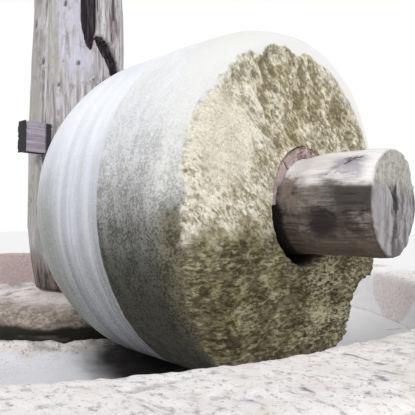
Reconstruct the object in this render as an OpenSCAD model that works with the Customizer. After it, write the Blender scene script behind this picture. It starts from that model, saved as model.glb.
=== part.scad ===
// Edge runner crushing mill: a heavy granite runner rolls on its edge in a round
// stone basin, on a log axle that an upright wooden shaft swings round.
// Millimetres, +Z up. The origin is on the ground under the centre of the shaft.
// The runner stands at +X when the mill is at rest.

/* [Basin wall] */
// Height of the masonry drum that carries the basin
base_h = 300; // [200:10:600]
// How far the rim stones stand out past the drum
rim_overhang = 25; // [0:5:60]
// Inner radius of the rim
rim_in_r = 1380; // [1330:10:1600]
// Width of the rim on top
rim_w = 300; // [200:10:420]
// Height of the rim above the lowest part of the track
rim_h = 220; // [120:10:300]
// Rounding of the rim's long edges
rim_round = 38; // [10:2:60]
// Width of the mortar joints between rim stones
joint_w = 36; // [15:1:60]
// Width of the one broad joint, where mortar fills the place of a stone
broad_joint = 200; // [36:4:260]
// How far the mortar lies back from the face of the stones
joint_back = 9; // [2:1:20]

/* [Bed] */
// Thickness of the bed stones at the track
bed_t = 150; // [100:10:250]
// Rise of the bed from the track to the foot of the rim
bed_rise = 32; // [5:1:60]
// Width of the joints between bed stones
bed_joint = 3; // [1:1:10]
// Depth of the crevice between hub and bed, below the bed's inner ledge
crevice_d = 34; // [10:2:60]
// Width of that crevice
crevice_w = 62; // [40:2:80]
// Running gap between runner and bed
run_gap = 6; // [5:1:20]

/* [Hub] */
// Running gap between the hub and the runner's inner face
hub_gap = 8; // [5:1:30]
// Height of the hub stone above the track
hub_h = 184; // [140:2:220]
// Fall of the hub's top from its seat to its rounded edge
hub_fall = 26; // [5:1:40]
// Rounding of the hub's edge
hub_round = 90; // [60:2:100]
// Gap between the foot of the shaft and the hub
foot_gap = 5; // [5:1:15]
// Width of the flat seat round the foot of the shaft
hub_seat = 14; // [5:1:30]
// Radius of the iron footstep bearing
step_r = 75; // [65:1:110]
// Depth of the footstep bearing in the hub
step_h = 70; // [50:5:100]

/* [Runner] */
// Radius of the runner at its widest
runner_r = 500; // [480:5:520]
// Distance from the shaft's centre to the widest part
runner_at = 970; // [940:5:1010]
// How far the rough outer face lies past the widest part
out_len = 140; // [100:5:180]
// Length from the widest part to the inner face
in_len = 585; // [520:5:610]
// Length of the slightly tapered tread
taper_len = 340; // [250:5:400]
// Radius lost along the tread
taper = 8; // [2:1:30]
// Rounding of the inner shoulder
inner_round = 400; // [380:5:600]
// Rounding of the outer shoulder
outer_round = 280; // [240:5:400]
// Radius of the eye through the runner
eye_r = 166; // [155:1:175]

/* [Axle] */
// Radius of the log axle
axle_r = 135; // [115:1:140]
// Length of axle past the runner's outer face
axle_free = 255; // [120:5:300]
// Chamfer at the axle's free end
axle_chamfer = 7; // [2:1:20]
// Width of the tenon in the shaft
tenon_w = 150; // [110:5:180]
// Height of the tenon
tenon_h = 190; // [140:5:210]
// Length of tenon past the shaft
tenon_past = 75; // [60:5:160]
// Thickness of the key behind the shaft
key_w = 36; // [24:2:50]
// Depth of the key across the tenon
key_d = 40; // [24:2:60]
// How far the key stands out above the tenon
key_head = 60; // [30:5:100]
// How far its tip stands out below
key_tip = 36; // [20:2:60]
// Width of the drying check in the end grain
check_w = 7; // [3:1:12]

/* [Bush] */
// Number of wooden staves that pack the eye
staves = 8; // [6:1:12]
// Running clearance between axle and staves
stave_run = 0.4; // [0.2:0.1:0.8]
// Gap between neighbouring staves
stave_gap = 1.5; // [0.5:0.5:4]

/* [Shaft] */
// Radius of the shaft at its belly
shaft_r = 203; // [185:1:212]
// Radius of the shaft at its foot
foot_r = 171; // [145:1:185]
// Radius of the shaft at its top
top_r = 155; // [135:1:190]
// Height of the shaft above its foot
shaft_h = 1720; // [1400:10:2400]
// Height of the belly above the foot
belly_h = 290; // [200:10:500]
// Radius of the iron pivot in the foot
pivot_r = 30; // [20:1:40]
// Length of the square tangs that hold pivot and gudgeon in the wood
tang_len = 150; // [100:5:220]
// Radius of the iron gudgeon on top
gudgeon_r = 28; // [20:1:40]
// Length of the gudgeon above the shaft
gudgeon_len = 95; // [60:5:140]

/* [Cross timber] */
// Width of the cross timber
arm_w = 66; // [50:2:90]
// Height of the cross timber
arm_h = 124; // [90:1:150]
// Height of its centre above the track
arm_at = 776; // [745:1:900]
// How far it stands out past the shaft's belly
arm_past = 85; // [30:5:300]
// How far its middle lies in front of the shaft's centre, on the runner's side
arm_off = 57; // [0:1:80]

/* [Rot] */
// Width of the rotten channel in the shaft
rot_w = 56; // [30:2:80]
// Depth of the channel
rot_d = 42; // [20:2:70]
// Height above the track where the channel bends
rot_bend = 1185; // [1000:5:1400]
// Height above the track where the channel ends
rot_end = 1025; // [900:5:1100]
// Length of the stretch above the bend over which the channel widens
rot_neck = 190; // [120:5:300]

/* [Hidden] */

$fn = 96;
fit = 0.3;
// Where the mortar joints of the rim lie, in degrees from the runner
rim_joints = [-44, 4, 58.6, 100, 146, 190, 232, 274, 316];
broad_at = 2;
// Where the first joint of the bed lies, and how many bed stones there are
bed_first = -20;
bed_count = 6;
// How far each stave ends inside the eye's mouth; some have broken away
stave_back = [14, 6, -8, -2, 150, 210, 190, 60, 40, 20, 10, 30];
// Where the runner's outer edge has broken: angle, distance from the axis, distance
// out past the face, and radius of the hollow
chips = [[-43, 545, -25, 150], [112, 415, 98, 118], [141, 430, 92, 110], [205, 470, 88, 105]];

seat_z = base_h + fit;
track_z = base_h + bed_t;
rim_out_r = rim_in_r + rim_w;
rim_top = track_z + rim_h;
hub_top = track_z + hub_h;
axle_z = track_z + run_gap + runner_r;
foot_z = hub_top + foot_gap;
shaft_top = foot_z + shaft_h;
belly_z = foot_z + belly_h;
out_x = runner_at + out_len;
in_x = runner_at - in_len;
hub_r = in_x - hub_gap;
hub_slope = atan(hub_fall / (hub_r - hub_round - foot_r - hub_seat));
ledge_r = hub_r + crevice_w;
axle_end = out_x + axle_free;
shoulder_x = shaft_r + fit;
arm_z = track_z + arm_at;
arm_len = 2 * (shaft_r + arm_past);
tenon_end = -(shaft_r + tenon_past);
key_x = -(shaft_r + key_w / 2 + fit);

// Points on an arc round [cx, cy] from angle a0 to a1
function arc(cx, cy, r, a0, a1, steps = 8) =
  [for (i = [0:steps]) let (a = a0 + (a1 - a0) * i / steps) [cx + r * cos(a), cy + r * sin(a)]];

// The runner's radius at a distance inward from its widest part
taper_a = atan(taper / taper_len);
shoulder_s = taper_len - inner_round * sin(taper_a);
shoulder_c = runner_r - taper - inner_round * cos(taper_a);
function runner_at_s(s) =
  s < 0 ? runner_r - outer_round + sqrt(outer_round * outer_round - s * s)
  : s < taper_len ? runner_r - taper * s / taper_len
  : shoulder_c + sqrt(max(0, inner_round * inner_round - pow(s - shoulder_s, 2)));

// Height of the bed at a distance from the shaft: it follows the runner's tread
function bed_at(x) =
  x > out_x ? track_z + bed_rise * (x - out_x) / (rim_in_r - out_x)
  : x > runner_at ? track_z
  : axle_z - run_gap - runner_at_s(runner_at - x);

module ring_sector(a0, a1) {
  rotate([0, 0, a0]) rotate_extrude(angle = a1 - a0, $fn = 240) children();
}

module along_x(x) {
  translate([x, 0, axle_z]) rotate([0, 90, 0]) children();
}

// The round masonry drum under the basin
module base_masonry() {
  color("darkgray") cylinder(r = rim_out_r - rim_overhang, h = base_h);
}

// The rounded stone in the middle, on which the shaft turns
module hub_stone() {
  color("rosybrown") difference() {
    rotate_extrude() polygon(concat(
      [[0, seat_z], [hub_r, seat_z]],
      arc(hub_r - hub_round, hub_top - hub_fall - hub_round, hub_round, 0, 90 - hub_slope, 10),
      [[foot_r + hub_seat, hub_top], [0, hub_top]]
    ));
    translate([0, 0, hub_top - step_h]) cylinder(r = step_r, h = step_h + 1);
  }
}

// The iron block that the shaft's pivot turns in
module footstep_bearing() {
  color("dimgray") translate([0, 0, hub_top - step_h]) difference() {
    cylinder(r = step_r - fit, h = step_h);
    translate([0, 0, step_h / 3]) cylinder(r = pivot_r + fit, h = step_h);
  }
}

// Outline of the rim: upright faces and rounded edges
module rim_outline(back = 0) {
  r = rim_round;
  polygon(concat(
    [[rim_in_r + back, seat_z], [rim_out_r - back, seat_z]],
    arc(rim_out_r - back - r, rim_top - back - r, r, 0, 90, 6),
    arc(rim_in_r + back + r, rim_top - back - r, r, 90, 180, 6)
  ));
}

// Half the angle that a mortar joint takes up
function joint_half(i) = (i == broad_at ? broad_joint : joint_w) / rim_in_r * 90 / PI;

module rim_stone(i) {
  color("gainsboro") ring_sector(rim_joints[i] + joint_half(i), rim_joints[i + 1] - joint_half(i + 1))
    rim_outline();
}

// White lime mortar between the rim stones
module rim_mortar() {
  color("white") for (i = [0:len(rim_joints) - 2])
    ring_sector(rim_joints[i] - joint_half(i) + 0.01, rim_joints[i] + joint_half(i) - 0.01)
      rim_outline(joint_back);
}

// One stone of the dished bed
module bed_stone(i) {
  step_a = 360 / bed_count;
  gap_a = bed_joint / ledge_r * 90 / PI;
  low = hub_r + 9;
  outer = rim_in_r - 2;
  ledge_z = bed_at(ledge_r) - 3;
  color("lightsteelblue")
    ring_sector(bed_first + step_a * i + gap_a, bed_first + step_a * (i + 1) - gap_a)
      polygon(concat(
        [[outer, seat_z], [outer, bed_at(outer)]],
        [for (x = [out_x, runner_at]) [x, bed_at(x)]],
        [for (k = [0:8]) let (x = runner_at - taper_len - k / 8 * (runner_at - taper_len - ledge_r))
          [x, bed_at(x) - 3 * k / 8]],
        [[ledge_r - 4, ledge_z - crevice_d * 0.8], [low, ledge_z - crevice_d], [low, seat_z]]
      ));
}

// The upright log: narrow at its foot, fullest at its belly
module shaft_log() {
  low = 8;
  rotate_extrude() polygon(concat(
    [[0, foot_z], [foot_r - low, foot_z], [foot_r, foot_z + low]],
    [for (k = [1:10]) let (t = k / 10)
      [foot_r + (shaft_r - foot_r) * sin(90 * t), foot_z + low + (belly_h - low) * t]],
    [for (k = [1:10]) let (t = k / 10)
      [shaft_r - (shaft_r - top_r) * t * t, belly_z + (shaft_h - belly_h - 12) * t]],
    [[top_r - 12, shaft_top], [0, shaft_top]]
  ));
}

// The rotten channel that runs down the shaft from its top and bends off at its end
module rot_channel() {
  w = rot_w / 2;
  bend = track_z + rot_bend;
  end = track_z + rot_end;
  rotate([0, 0, -23]) translate([top_r - rot_d + 12, 0, 0]) rotate([90, 0, 90])
    linear_extrude(height = 3 * rot_d) polygon([
      [-w, shaft_top + 1], [-w - 4, bend + rot_neck], [-w + 6, bend + 20], [w * 0.7, bend - 30],
      [w * 1.9, end + 60], [w * 2.9, end], [w * 3.3, end + 40], [w * 2.4, bend - 60],
      [w + 4, bend + 30], [w - 2, bend + rot_neck], [w, shaft_top + 1]
    ]);
}

module upright_shaft() {
  color("thistle") difference() {
    shaft_log();
    translate([-shaft_r - 10, -tenon_w / 2 - fit, axle_z - tenon_h / 2 - fit])
      cube([2 * shaft_r + 20, tenon_w + 2 * fit, tenon_h + 2 * fit]);
    translate([arm_off - arm_w / 2 - fit, -shaft_r - 10, arm_z - arm_h / 2 - fit])
      cube([arm_w + 2 * fit, 2 * shaft_r + 20, arm_h + 2 * fit]);
    tang(foot_z - 1, pivot_r, tang_len + 1 + fit, fit);
    tang(shaft_top - tang_len - fit, gudgeon_r, tang_len + 1 + fit, fit);
    rot_channel();
  }
}

// Square tang of an iron pin of radius r
module tang(z, r, h, play = 0) {
  side = 2 * (r + 4 + play);
  translate([-side / 2, -side / 2, z]) cube([side, side, h]);
}

// Iron pin in the foot of the shaft, with its end in the footstep bearing
module shaft_pivot() {
  low = hub_top - step_h * 2 / 3 + fit;
  color("dimgray") {
    translate([0, 0, low]) cylinder(r = pivot_r, h = foot_z + 20 - low);
    tang(foot_z, pivot_r, tang_len);
  }
}

// Iron pin on the shaft's top, for the bearing above
module top_gudgeon() {
  color("dimgray") {
    translate([0, 0, shaft_top - 20]) cylinder(r = gudgeon_r, h = gudgeon_len + 20);
    tang(shaft_top - tang_len, gudgeon_r, tang_len);
  }
}

// Squared timber through the front half of the shaft, square to the axle
module cross_timber() {
  color("plum") translate([arm_off - arm_w / 2, -arm_len / 2, arm_z - arm_h / 2])
    cube([arm_w, arm_len, arm_h]);
}

// Log axle with a squared tenon through the shaft
module axle() {
  c = axle_chamfer;
  color("tan") difference() {
    union() {
      along_x(0) rotate_extrude() polygon([
        [0, shoulder_x], [axle_r, shoulder_x], [axle_r, axle_end - c],
        [axle_r - c, axle_end], [0, axle_end]
      ]);
      translate([tenon_end, -tenon_w / 2, axle_z - tenon_h / 2])
        cube([shoulder_x - tenon_end + 1, tenon_w, tenon_h]);
    }
    translate([key_x - key_w / 2 - fit, -key_d / 2 - fit, axle_z - tenon_h])
      cube([key_w + 2 * fit, key_d + 2 * fit, 2 * tenon_h]);
    translate([axle_end - 70, -check_w / 2, axle_z - axle_r * 0.55])
      cube([80, check_w, axle_r * 0.9]);
  }
}

// Tapered key that holds the tenon behind the shaft
module tenon_key() {
  top = tenon_h / 2 + key_head;
  w = key_w / 2;
  color("sienna") translate([key_x, key_d / 2, axle_z]) rotate([90, 0, 0])
    linear_extrude(height = key_d) polygon([
      [6 - w, -tenon_h / 2 - key_tip], [w, -tenon_h / 2 - key_tip], [w, top - 6],
      [w - 6, top], [6 - w, top], [-w, top - 6], [-w, -tenon_h / 2]
    ]);
}

module runner_stone() {
  color("silver") difference() {
    along_x(0) rotate_extrude() polygon(concat(
      [[0, out_x]],
      [for (k = [0:8]) let (s = -out_len * (1 - k / 8)) [runner_at_s(s), runner_at - s]],
      [for (k = [0:12]) let (s = taper_len + (in_len - taper_len) * sin(90 * k / 12))
        [runner_at_s(s), runner_at - s]],
      [[0, in_x]]
    ));
    along_x(in_x - 10) cylinder(r = eye_r, h = out_len + in_len + 20);
    for (c = chips) along_x(out_x + c[2]) rotate([0, 0, 90 + c[0]]) translate([c[1], 0, 0])
      sphere(r = c[3]);
  }
}

// One wooden stave of the bush that fills the eye round the axle
module bush_stave(i) {
  step_a = 360 / staves;
  gap_a = stave_gap / axle_r * 90 / PI;
  inner_end = in_x + 12;
  color("indianred") along_x(inner_end)
    rotate([0, 0, 90 + step_a * i + gap_a]) rotate_extrude(angle = step_a - 2 * gap_a)
      translate([axle_r + stave_run, 0])
        square([eye_r - fit - axle_r - stave_run, out_x - stave_back[i] - inner_end]);
}

base_masonry();
hub_stone();
footstep_bearing();
rim_mortar();
rim_stone(0);  // rim_stone_1
rim_stone(1);  // rim_stone_2
rim_stone(2);  // rim_stone_3
rim_stone(3);  // rim_stone_4
rim_stone(4);  // rim_stone_5
rim_stone(5);  // rim_stone_6
rim_stone(6);  // rim_stone_7
rim_stone(7);  // rim_stone_8
bed_stone(0);  // bed_stone_1
bed_stone(1);  // bed_stone_2
bed_stone(2);  // bed_stone_3
bed_stone(3);  // bed_stone_4
bed_stone(4);  // bed_stone_5
bed_stone(5);  // bed_stone_6
upright_shaft();
shaft_pivot();
top_gudgeon();
cross_timber();
axle();
tenon_key();
runner_stone();
bush_stave(0);  // bush_stave_1
bush_stave(1);  // bush_stave_2
bush_stave(2);  // bush_stave_3
bush_stave(3);  // bush_stave_4
bush_stave(4);  // bush_stave_5
bush_stave(5);  // bush_stave_6
bush_stave(6);  // bush_stave_7
bush_stave(7);  // bush_stave_8
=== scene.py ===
import math

import bpy
import numpy as np
from mathutils import Matrix


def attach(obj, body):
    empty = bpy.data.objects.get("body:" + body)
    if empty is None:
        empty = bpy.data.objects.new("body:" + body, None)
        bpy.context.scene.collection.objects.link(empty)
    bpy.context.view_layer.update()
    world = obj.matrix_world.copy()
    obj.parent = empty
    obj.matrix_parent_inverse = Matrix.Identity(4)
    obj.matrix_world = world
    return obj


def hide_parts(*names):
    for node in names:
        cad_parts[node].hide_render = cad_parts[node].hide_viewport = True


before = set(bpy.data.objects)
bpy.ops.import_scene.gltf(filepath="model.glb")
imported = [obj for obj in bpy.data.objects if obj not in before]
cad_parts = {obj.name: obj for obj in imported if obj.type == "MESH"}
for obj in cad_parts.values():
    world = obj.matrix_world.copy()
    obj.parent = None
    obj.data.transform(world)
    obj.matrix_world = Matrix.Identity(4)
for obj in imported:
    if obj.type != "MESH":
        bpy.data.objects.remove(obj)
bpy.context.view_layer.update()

# Sizes that the frame also has, in metres
SEAT_Z, TRACK_Z, RIM_TOP = 0.3003, 0.450, 0.670
RIM_IN, RIM_OUT, RIM_ROUND = 1.380, 1.680, 0.038
JOINT_W, BROAD_JOINT, JOINT_BACK = 0.036, 0.200, 0.009
RIM_JOINTS, BROAD_AT = (-44, 4, 58.6, 100, 146, 190, 232, 274, 316), 2
BED_FIRST, BED_COUNT, BED_JOINT, BED_RISE = -20, 6, 0.003, 0.032
CREVICE_D, CREVICE_W = 0.034, 0.062
DRUM_R, DRUM_TOP = 1.655, 0.2995
HUB_R, HUB_TOP, HUB_ROUND, HUB_FALL = 0.377, 0.634, 0.090, 0.026
STEP_R, STEP_H = 0.075, 0.070
RUNNER_X, RUNNER_R = 0.970, 0.500
OUT_LEN, IN_LEN = 0.140, 0.585
OUT_X, IN_X = RUNNER_X + OUT_LEN, RUNNER_X - IN_LEN
TAPER_LEN, TAPER = 0.340, 0.008
INNER_ROUND, OUTER_ROUND = 0.400, 0.280
EYE_R = 0.166
AXLE_Z, AXLE_R, AXLE_END = 0.956, 0.135, 1.365
TENON_W, TENON_H, TENON_END, SHOULDER_X = 0.150, 0.190, -0.278, 0.2033
KEY_X, KEY_W, KEY_D = -0.2213, 0.036, 0.040
STAVE_IN, STAVE_OUT = 0.1355, 0.1655
STAVE_BACK = (0.014, 0.006, -0.008, -0.002, 0.150, 0.210, 0.190, 0.060)
FOOT_Z, SHAFT_TOP = 0.639, 2.359
FOOT_R, BELLY_R, TOP_R, BELLY_Z = 0.171, 0.203, 0.155, 0.929
ARM_W, ARM_H, ARM_X, ARM_Z, ARM_HALF = 0.066, 0.124, 0.057, 1.226, 0.288
# How far a worn surface stays inside its solid
WITHIN = 0.0005


# Random fields over points in space

def scatter(place, seed):
    """A number from 0 to 1 for each whole-number place."""
    h = place[0] * 73856093 ^ place[1] * 19349663 ^ place[2] * 83492791 ^ (seed + 11) * 2654435761
    h = (h ^ (h >> 15)) & 0xFFFFFFFF
    h = (h * 2246822519) & 0xFFFFFFFF
    h = ((h ^ (h >> 13)) * 3266489917) & 0xFFFFFFFF
    return ((h ^ (h >> 16)) & 0xFFFFFFFF) / 4294967295.0


def swell(points, size, seed=0):
    """Smooth noise from -1 to 1 with lumps of that size, which may differ by axis."""
    q = points / np.asarray(size, float)
    cell = np.floor(q).astype(np.int64)
    f = q - cell
    f = f * f * f * (f * (f * 6 - 15) + 10)
    total = np.zeros(len(q))
    for corner in np.ndindex(2, 2, 2):
        weight = np.ones(len(q))
        for axis in range(3):
            weight = weight * (f[:, axis] if corner[axis] else 1 - f[:, axis])
        total += weight * scatter([cell[:, axis] + corner[axis] for axis in range(3)], seed)
    return total * 2 - 1


# How each layer of noise is turned and shifted against the one before, and the strength of their sum
TURN = np.array([[0.36, 0.48, -0.8], [-0.8, 0.60, 0.0], [0.48, 0.64, 0.60]])
LAYER_SHIFT, ROUGHNESS = 17.3, 1.6


def rough(points, size, seed=0, layers=4, gain=0.5):
    """Several layers of noise, each half as large as the one before."""
    q = points / np.asarray(size, float)
    total, weight, whole = np.zeros(len(q)), 1.0, 0.0
    for layer in range(layers):
        total += weight * swell(q + LAYER_SHIFT * layer, 1.0, seed + layer)
        whole += weight
        weight *= gain
        q = (q @ TURN) * 2.0
    return total / whole * ROUGHNESS


def window(value, low, high):
    """Smooth step from 0 at low to 1 at high."""
    t = np.clip((value - low) / (high - low), 0, 1)
    return t * t * (3 - 2 * t)


def bump(value, half):
    """A smooth hill of height 1 round zero."""
    return 1 - window(np.abs(value), 0, half)


def turn_gap(angle, centre):
    """The angle past the centre, in degrees from -180 to 180."""
    return (angle - centre + 180) % 360 - 180


def sector(angle, centre, half, soft, sway=0):
    """1 near an angle and 0 beyond half on either side, over soft degrees."""
    return window(half - np.abs(turn_gap(angle, centre)) + sway, 0, soft)


def blend(share, first, second):
    """From the first at 0 to the second at 1."""
    return first + (second - first) * share


def follow(value, stops):
    """A number that follows a value, from stops of (value, number)."""
    return np.interp(value, *zip(*stops))


def polar(across, up):
    """The distance from the middle, and the angle in degrees."""
    return np.hypot(across, up), np.degrees(np.arctan2(up, across))


def spot(across, up, wide, tall, soft):
    """1 in the middle of an oval and 0 outside it."""
    return window(1 - np.hypot(across / wide, up / tall), 0, soft)


def terraces(value, steps):
    """Breaks a smooth field into flat steps with short slopes, as split stone has."""
    t = value * steps
    whole = np.floor(t)
    return (whole + window(t - whole, 0.3, 0.7)) / steps


# Meshes from rows of points

def add_object(name, data):
    """A new object in the scene."""
    piece = bpy.data.objects.new(name, data)
    bpy.context.scene.collection.objects.link(piece)
    return piece


def plain_mesh(name, parts, ring=False, flat=0):
    """One closed mesh from grids of points, with its points and normals. Each row is a closed loop. The
    rows form a ring, or the first and last close on their middle, with so many flat rows there."""
    all_points, all_quads, all_fans, smooth, base = [], [], [], [], 0
    for rows in parts:
        count, width = rows.shape[:2]
        i, j = np.ogrid[:count if ring else count - 1, :width]
        after, across = (i + 1) % count * width, (j + 1) % width
        quads = np.stack([i * width + j, i * width + across, after + across, after + j], -1).reshape(-1, 4)
        points, fans = rows.reshape(-1, 3), np.zeros((0, 3), int)
        if not ring:
            points = np.vstack([points, rows[0].mean(0), rows[-1].mean(0)])
            j, across, last, tip = j[0], across[0], (count - 1) * width, np.full(width, count * width)
            fans = np.vstack([np.stack([across, j, tip], -1),
                              np.stack([last + j, last + across, tip + 1], -1)])
        a, b, c = points[np.vstack([quads[:, :3], quads[:, [0, 2, 3]], fans]).T]
        if np.einsum("ij,ij->i", a, np.cross(b, c)).sum() < 0:
            quads, fans = quads[:, ::-1], fans[:, ::-1]
        row = np.arange(len(quads)) // width
        smooth.append((row >= flat) & (row < count - 1 - flat))
        all_points.append(points)
        all_quads.append(quads + base)
        all_fans.append(fans + base)
        base += len(points)
    fans = np.vstack(all_fans)
    mesh = bpy.data.meshes.new(name)
    mesh.from_pydata(np.vstack(all_points), [], np.vstack(all_quads).tolist() + fans.tolist())
    mesh.validate()
    mesh.shade_smooth()
    if flat:
        mesh.polygons.foreach_set("use_smooth", np.concatenate(smooth + [np.zeros(len(fans), bool)]))
    return add_object(name, mesh), *read_points(mesh)


def read_points(mesh):
    """The mesh's points and normals."""
    found = np.empty((2, len(mesh.vertices) * 3))
    mesh.vertices.foreach_get("co", found[0])
    mesh.vertices.foreach_get("normal", found[1])
    return found.reshape(2, -1, 3)


def write_points(piece, points, **masks):
    """Moves the points, and keeps each mask as an attribute for the material."""
    mesh = piece.data
    mesh.vertices.foreach_set("co", np.ascontiguousarray(points, float).ravel())
    for name, values in masks.items():
        layer = mesh.attributes.new(name, "FLOAT", "POINT")
        layer.data.foreach_set("value", np.ascontiguousarray(values, np.float32))
    mesh.update()


def finish_piece(piece, points, body, slot, node, finish=None, **masks):
    """Writes the points and masks, gives the piece its material, attaches it to its body and hides the part
    from model.glb that it stands for.
    """
    write_points(piece, points, **masks)
    piece.data.materials.append(FINISH[finish or slot])
    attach(piece, body)
    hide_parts(node)


def together(x, y, z):
    """Points from their coordinates, any of which may be a single number."""
    return np.stack(np.broadcast_arrays(x, y, z), -1)


def round_turn(count):
    """Evenly spaced angles round a full turn."""
    return np.linspace(0, 2 * math.pi, count, endpoint=False)


def along(points, spacing):
    """Points on an open line, at about that spacing."""
    points = np.asarray(points, float)
    step = np.linalg.norm(np.diff(points, axis=0), axis=1)
    reach = np.concatenate([[0], np.cumsum(step)])
    t = np.linspace(0, reach[-1], max(2, int(round(reach[-1] / spacing)) + 1))
    return np.stack([np.interp(t, reach, column) for column in points.T], -1)


def arc(cx, cy, r, a0, a1, count=10):
    """Points on an arc between two angles in degrees."""
    return [(cx + r * math.cos(t), cy + r * math.sin(t)) for t in np.radians(np.linspace(a0, a1, count))]


def capped(loops, rows, level=None):
    """Adds rows that close each end of a sweep towards the middle of its end loop, or towards a level."""
    def cap(loop):
        middle = loop.mean(0) if level is None else loop * (1, 1, 0) + (0, 0, level)
        return [middle + (loop - middle) * t for t in np.linspace(0.08, 0.96, rows)]
    return np.array(cap(loops[0]) + list(loops) + cap(loops[-1])[::-1])


def revolved(outline, count):
    """Rows round the upright axis from an outline of (radius, height)."""
    a = round_turn(count)
    return np.array([together(r * np.cos(a), r * np.sin(a), z) for r, z in outline])


def squared(wide, tall, count, power=14.0):
    """A rectangle with softened corners, as (across, up) points round it."""
    c, s = np.cos(round_turn(count)), np.sin(round_turn(count))
    t = (np.abs(c) ** power + np.abs(s) ** power) ** (-1 / power)
    return np.stack([c * t * wide / 2, s * t * tall / 2], -1)


# Node trees for the finishes

class Wire:
    """An output in a node tree, on which sums and the common nodes can be written in place."""

    def __init__(self, tree, socket):
        self.tree, self.socket = tree, socket

    def __add__(self, other):
        return self.tree.maths("ADD", self, other)

    def __sub__(self, other):
        return self.tree.maths("SUBTRACT", self, other)

    def __rsub__(self, other):
        return self.tree.maths("SUBTRACT", other, self)

    def __mul__(self, other):
        return self.tree.maths("MULTIPLY", self, other)

    def window(self, low, high):
        """Smooth step from 0 at low to 1 at high."""
        inputs = {"Value": self, "From Min": min(low, high), "From Max": max(low, high)}
        step = self.tree.add("ShaderNodeMapRange", inputs, interpolation_type="SMOOTHSTEP")[0]
        return 1 - step if low > high else step

    def between(self, low, high, mode="MIX"):
        """From the first colour at 0 to the second at 1."""
        return self.tree.mix(self, low, high, mode)

    def paint(self, *layers):
        """This colour with layers over it, each of (share, colour) or (share, colour, blend type)."""
        under = self
        for share, color, *mode in layers:
            under = self.tree.mix(share, under, color, *mode)
        return under

    def ramp(self, stops):
        """A colour that follows this value, from stops of (value, red, green, blue)."""
        low, high = stops[0][0], stops[-1][0]
        share = self.tree.add("ShaderNodeMapRange", {"Value": self, "From Min": low, "From Max": high})[0]
        color = self.tree.add("ShaderNodeValToRGB", {"Fac": share})[0]
        marks = color.socket.node.color_ramp.elements
        for at, *tone in stops[1:-1]:
            marks.new((at - low) / (high - low)).color = (*tone, 1)
        marks[0].color, marks[-1].color = (*stops[0][1:], 1), (*stops[-1][1:], 1)
        return color

    def noise(self, size, detail=4, harsh=0.5, scale=None, turn=(0, 0, 0), twist=0):
        """Noise at this place, which may first be scaled and turned."""
        at = self.mapped(scale, turn=turn) if scale else self
        return self.tree.add("ShaderNodeTexNoise", {
            "Vector": at, "Scale": size, "Detail": detail, "Roughness": harsh, "Distortion": twist})[0]

    def mapped(self, scale=(1, 1, 1), place=(0, 0, 0), turn=(0, 0, 0)):
        return self.tree.add("ShaderNodeMapping", {
            "Vector": self, "Location": place, "Rotation": turn, "Scale": scale})[0]

    def parts(self):
        return self.tree.add("ShaderNodeSeparateXYZ", {0: self})

    def vector(self, operation, other=None):
        """A vector sum: its vector and its value."""
        inputs = {0: self} if other is None else {0: self, "Scale" if operation == "SCALE" else 1: other}
        return self.tree.add("ShaderNodeVectorMath", inputs, operation=operation)

    def rings(self):
        """Noise along a single distance."""
        inputs = {"W": self, "Scale": 1, "Detail": 2}
        return self.tree.add("ShaderNodeTexNoise", inputs, noise_dimensions="1D")[0]

    def relief(self, depth, strength):
        return self.tree.add("ShaderNodeBump", {"Height": self, "Distance": depth, "Strength": strength})[0]


class Tree:
    """Adds nodes to a material, a world or a group."""

    def __init__(self, tree):
        self.tree = tree

    def feed(self, socket, value):
        if isinstance(value, Wire):
            self.tree.links.new(value.socket, socket)
        else:
            socket.default_value = (*value, 1) if socket.type == "RGBA" else value

    def add(self, kind, inputs=(), **settings):
        """Adds a node and gives its outputs."""
        node = self.tree.nodes.new(kind)
        for name, value in settings.items():
            setattr(node, name, value)
        for name, value in dict(inputs).items():
            self.feed(node.inputs[name], value)
        return [Wire(self, socket) for socket in node.outputs]

    def maths(self, operation, a, b):
        return self.add("ShaderNodeMath", {0: a, 1: b}, operation=operation)[0]

    def mix(self, share, a, b, mode="MIX"):
        return self.add("ShaderNodeMix", {0: share, 6: a, 7: b}, data_type="RGBA", blend_type=mode,
                        clamp_factor=True)[2]

    def mask(self, name):
        return self.add("ShaderNodeAttribute", attribute_name=name)[2]

    def crystals(self, p, ground, dark, pale, grain, share, mottle):
        """Speckled stone: its colour and height."""
        return self.add("ShaderNodeGroup", {
            "Vector": p, "Ground": ground, "Dark grain": dark, "Pale grain": pale, "Grain": grain,
            "Dark share": share, "Mottle": mottle}, node_tree=CRYSTAL)

    def grain(self, p, pale, deep, fibre, checks):
        """Weathered wood: its colour and height."""
        return self.add("ShaderNodeGroup", {"Vector": p, "Pale": pale, "Deep": deep, "Fibre": fibre,
                                            "Checks": checks}, node_tree=GRAIN)

    def damp(self, p, color, stain, top, depth, fray, amount):
        """A colour darkened below a height, and the share of that darkening: stained on most pieces,
        painted shade on the hub.
        """
        return self.add("ShaderNodeGroup", {
            "Color": color, "Stain": stain, "Vector": p, "Top": top, "Depth": depth, "Fray": fray,
            "Amount": amount}, node_tree=DAMP_AND_SHADE)

    def dirty(self, color, dirt, amount):
        """A colour darkened where the piece's mask marks it: dirt in hollows, and painted shade in hollows,
        crevices and under parts.
        """
        return self.add("ShaderNodeGroup", {"Color": color, "Dirt": dirt, "Hollow": self.mask("hollow"),
                                            "Amount": amount}, node_tree=DIRT_AND_SHADE)[0]


class Group(Tree):
    """A shader group with named sockets."""

    def __init__(self, name, vectors="", colors="", values=""):
        super().__init__(bpy.data.node_groups.new(name, "ShaderNodeTree"))
        for names, kind in ((vectors, "Vector"), (colors, "Color"), (values, "Float")):
            for socket in filter(None, names.split(", ")):
                self.tree.interface.new_socket(socket, in_out="INPUT", socket_type="NodeSocket" + kind)
        self.given = self.add("NodeGroupInput")[:-1]

    def done(self, **outputs):
        """Gives the group its outputs: a colour, and values."""
        for name in outputs:
            kind = "NodeSocketColor" if name == "Color" else "NodeSocketFloat"
            self.tree.interface.new_socket(name.replace("_", " "), in_out="OUTPUT", socket_type=kind)
        self.add("NodeGroupOutput", enumerate(outputs.values()))
        return self.tree


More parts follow.
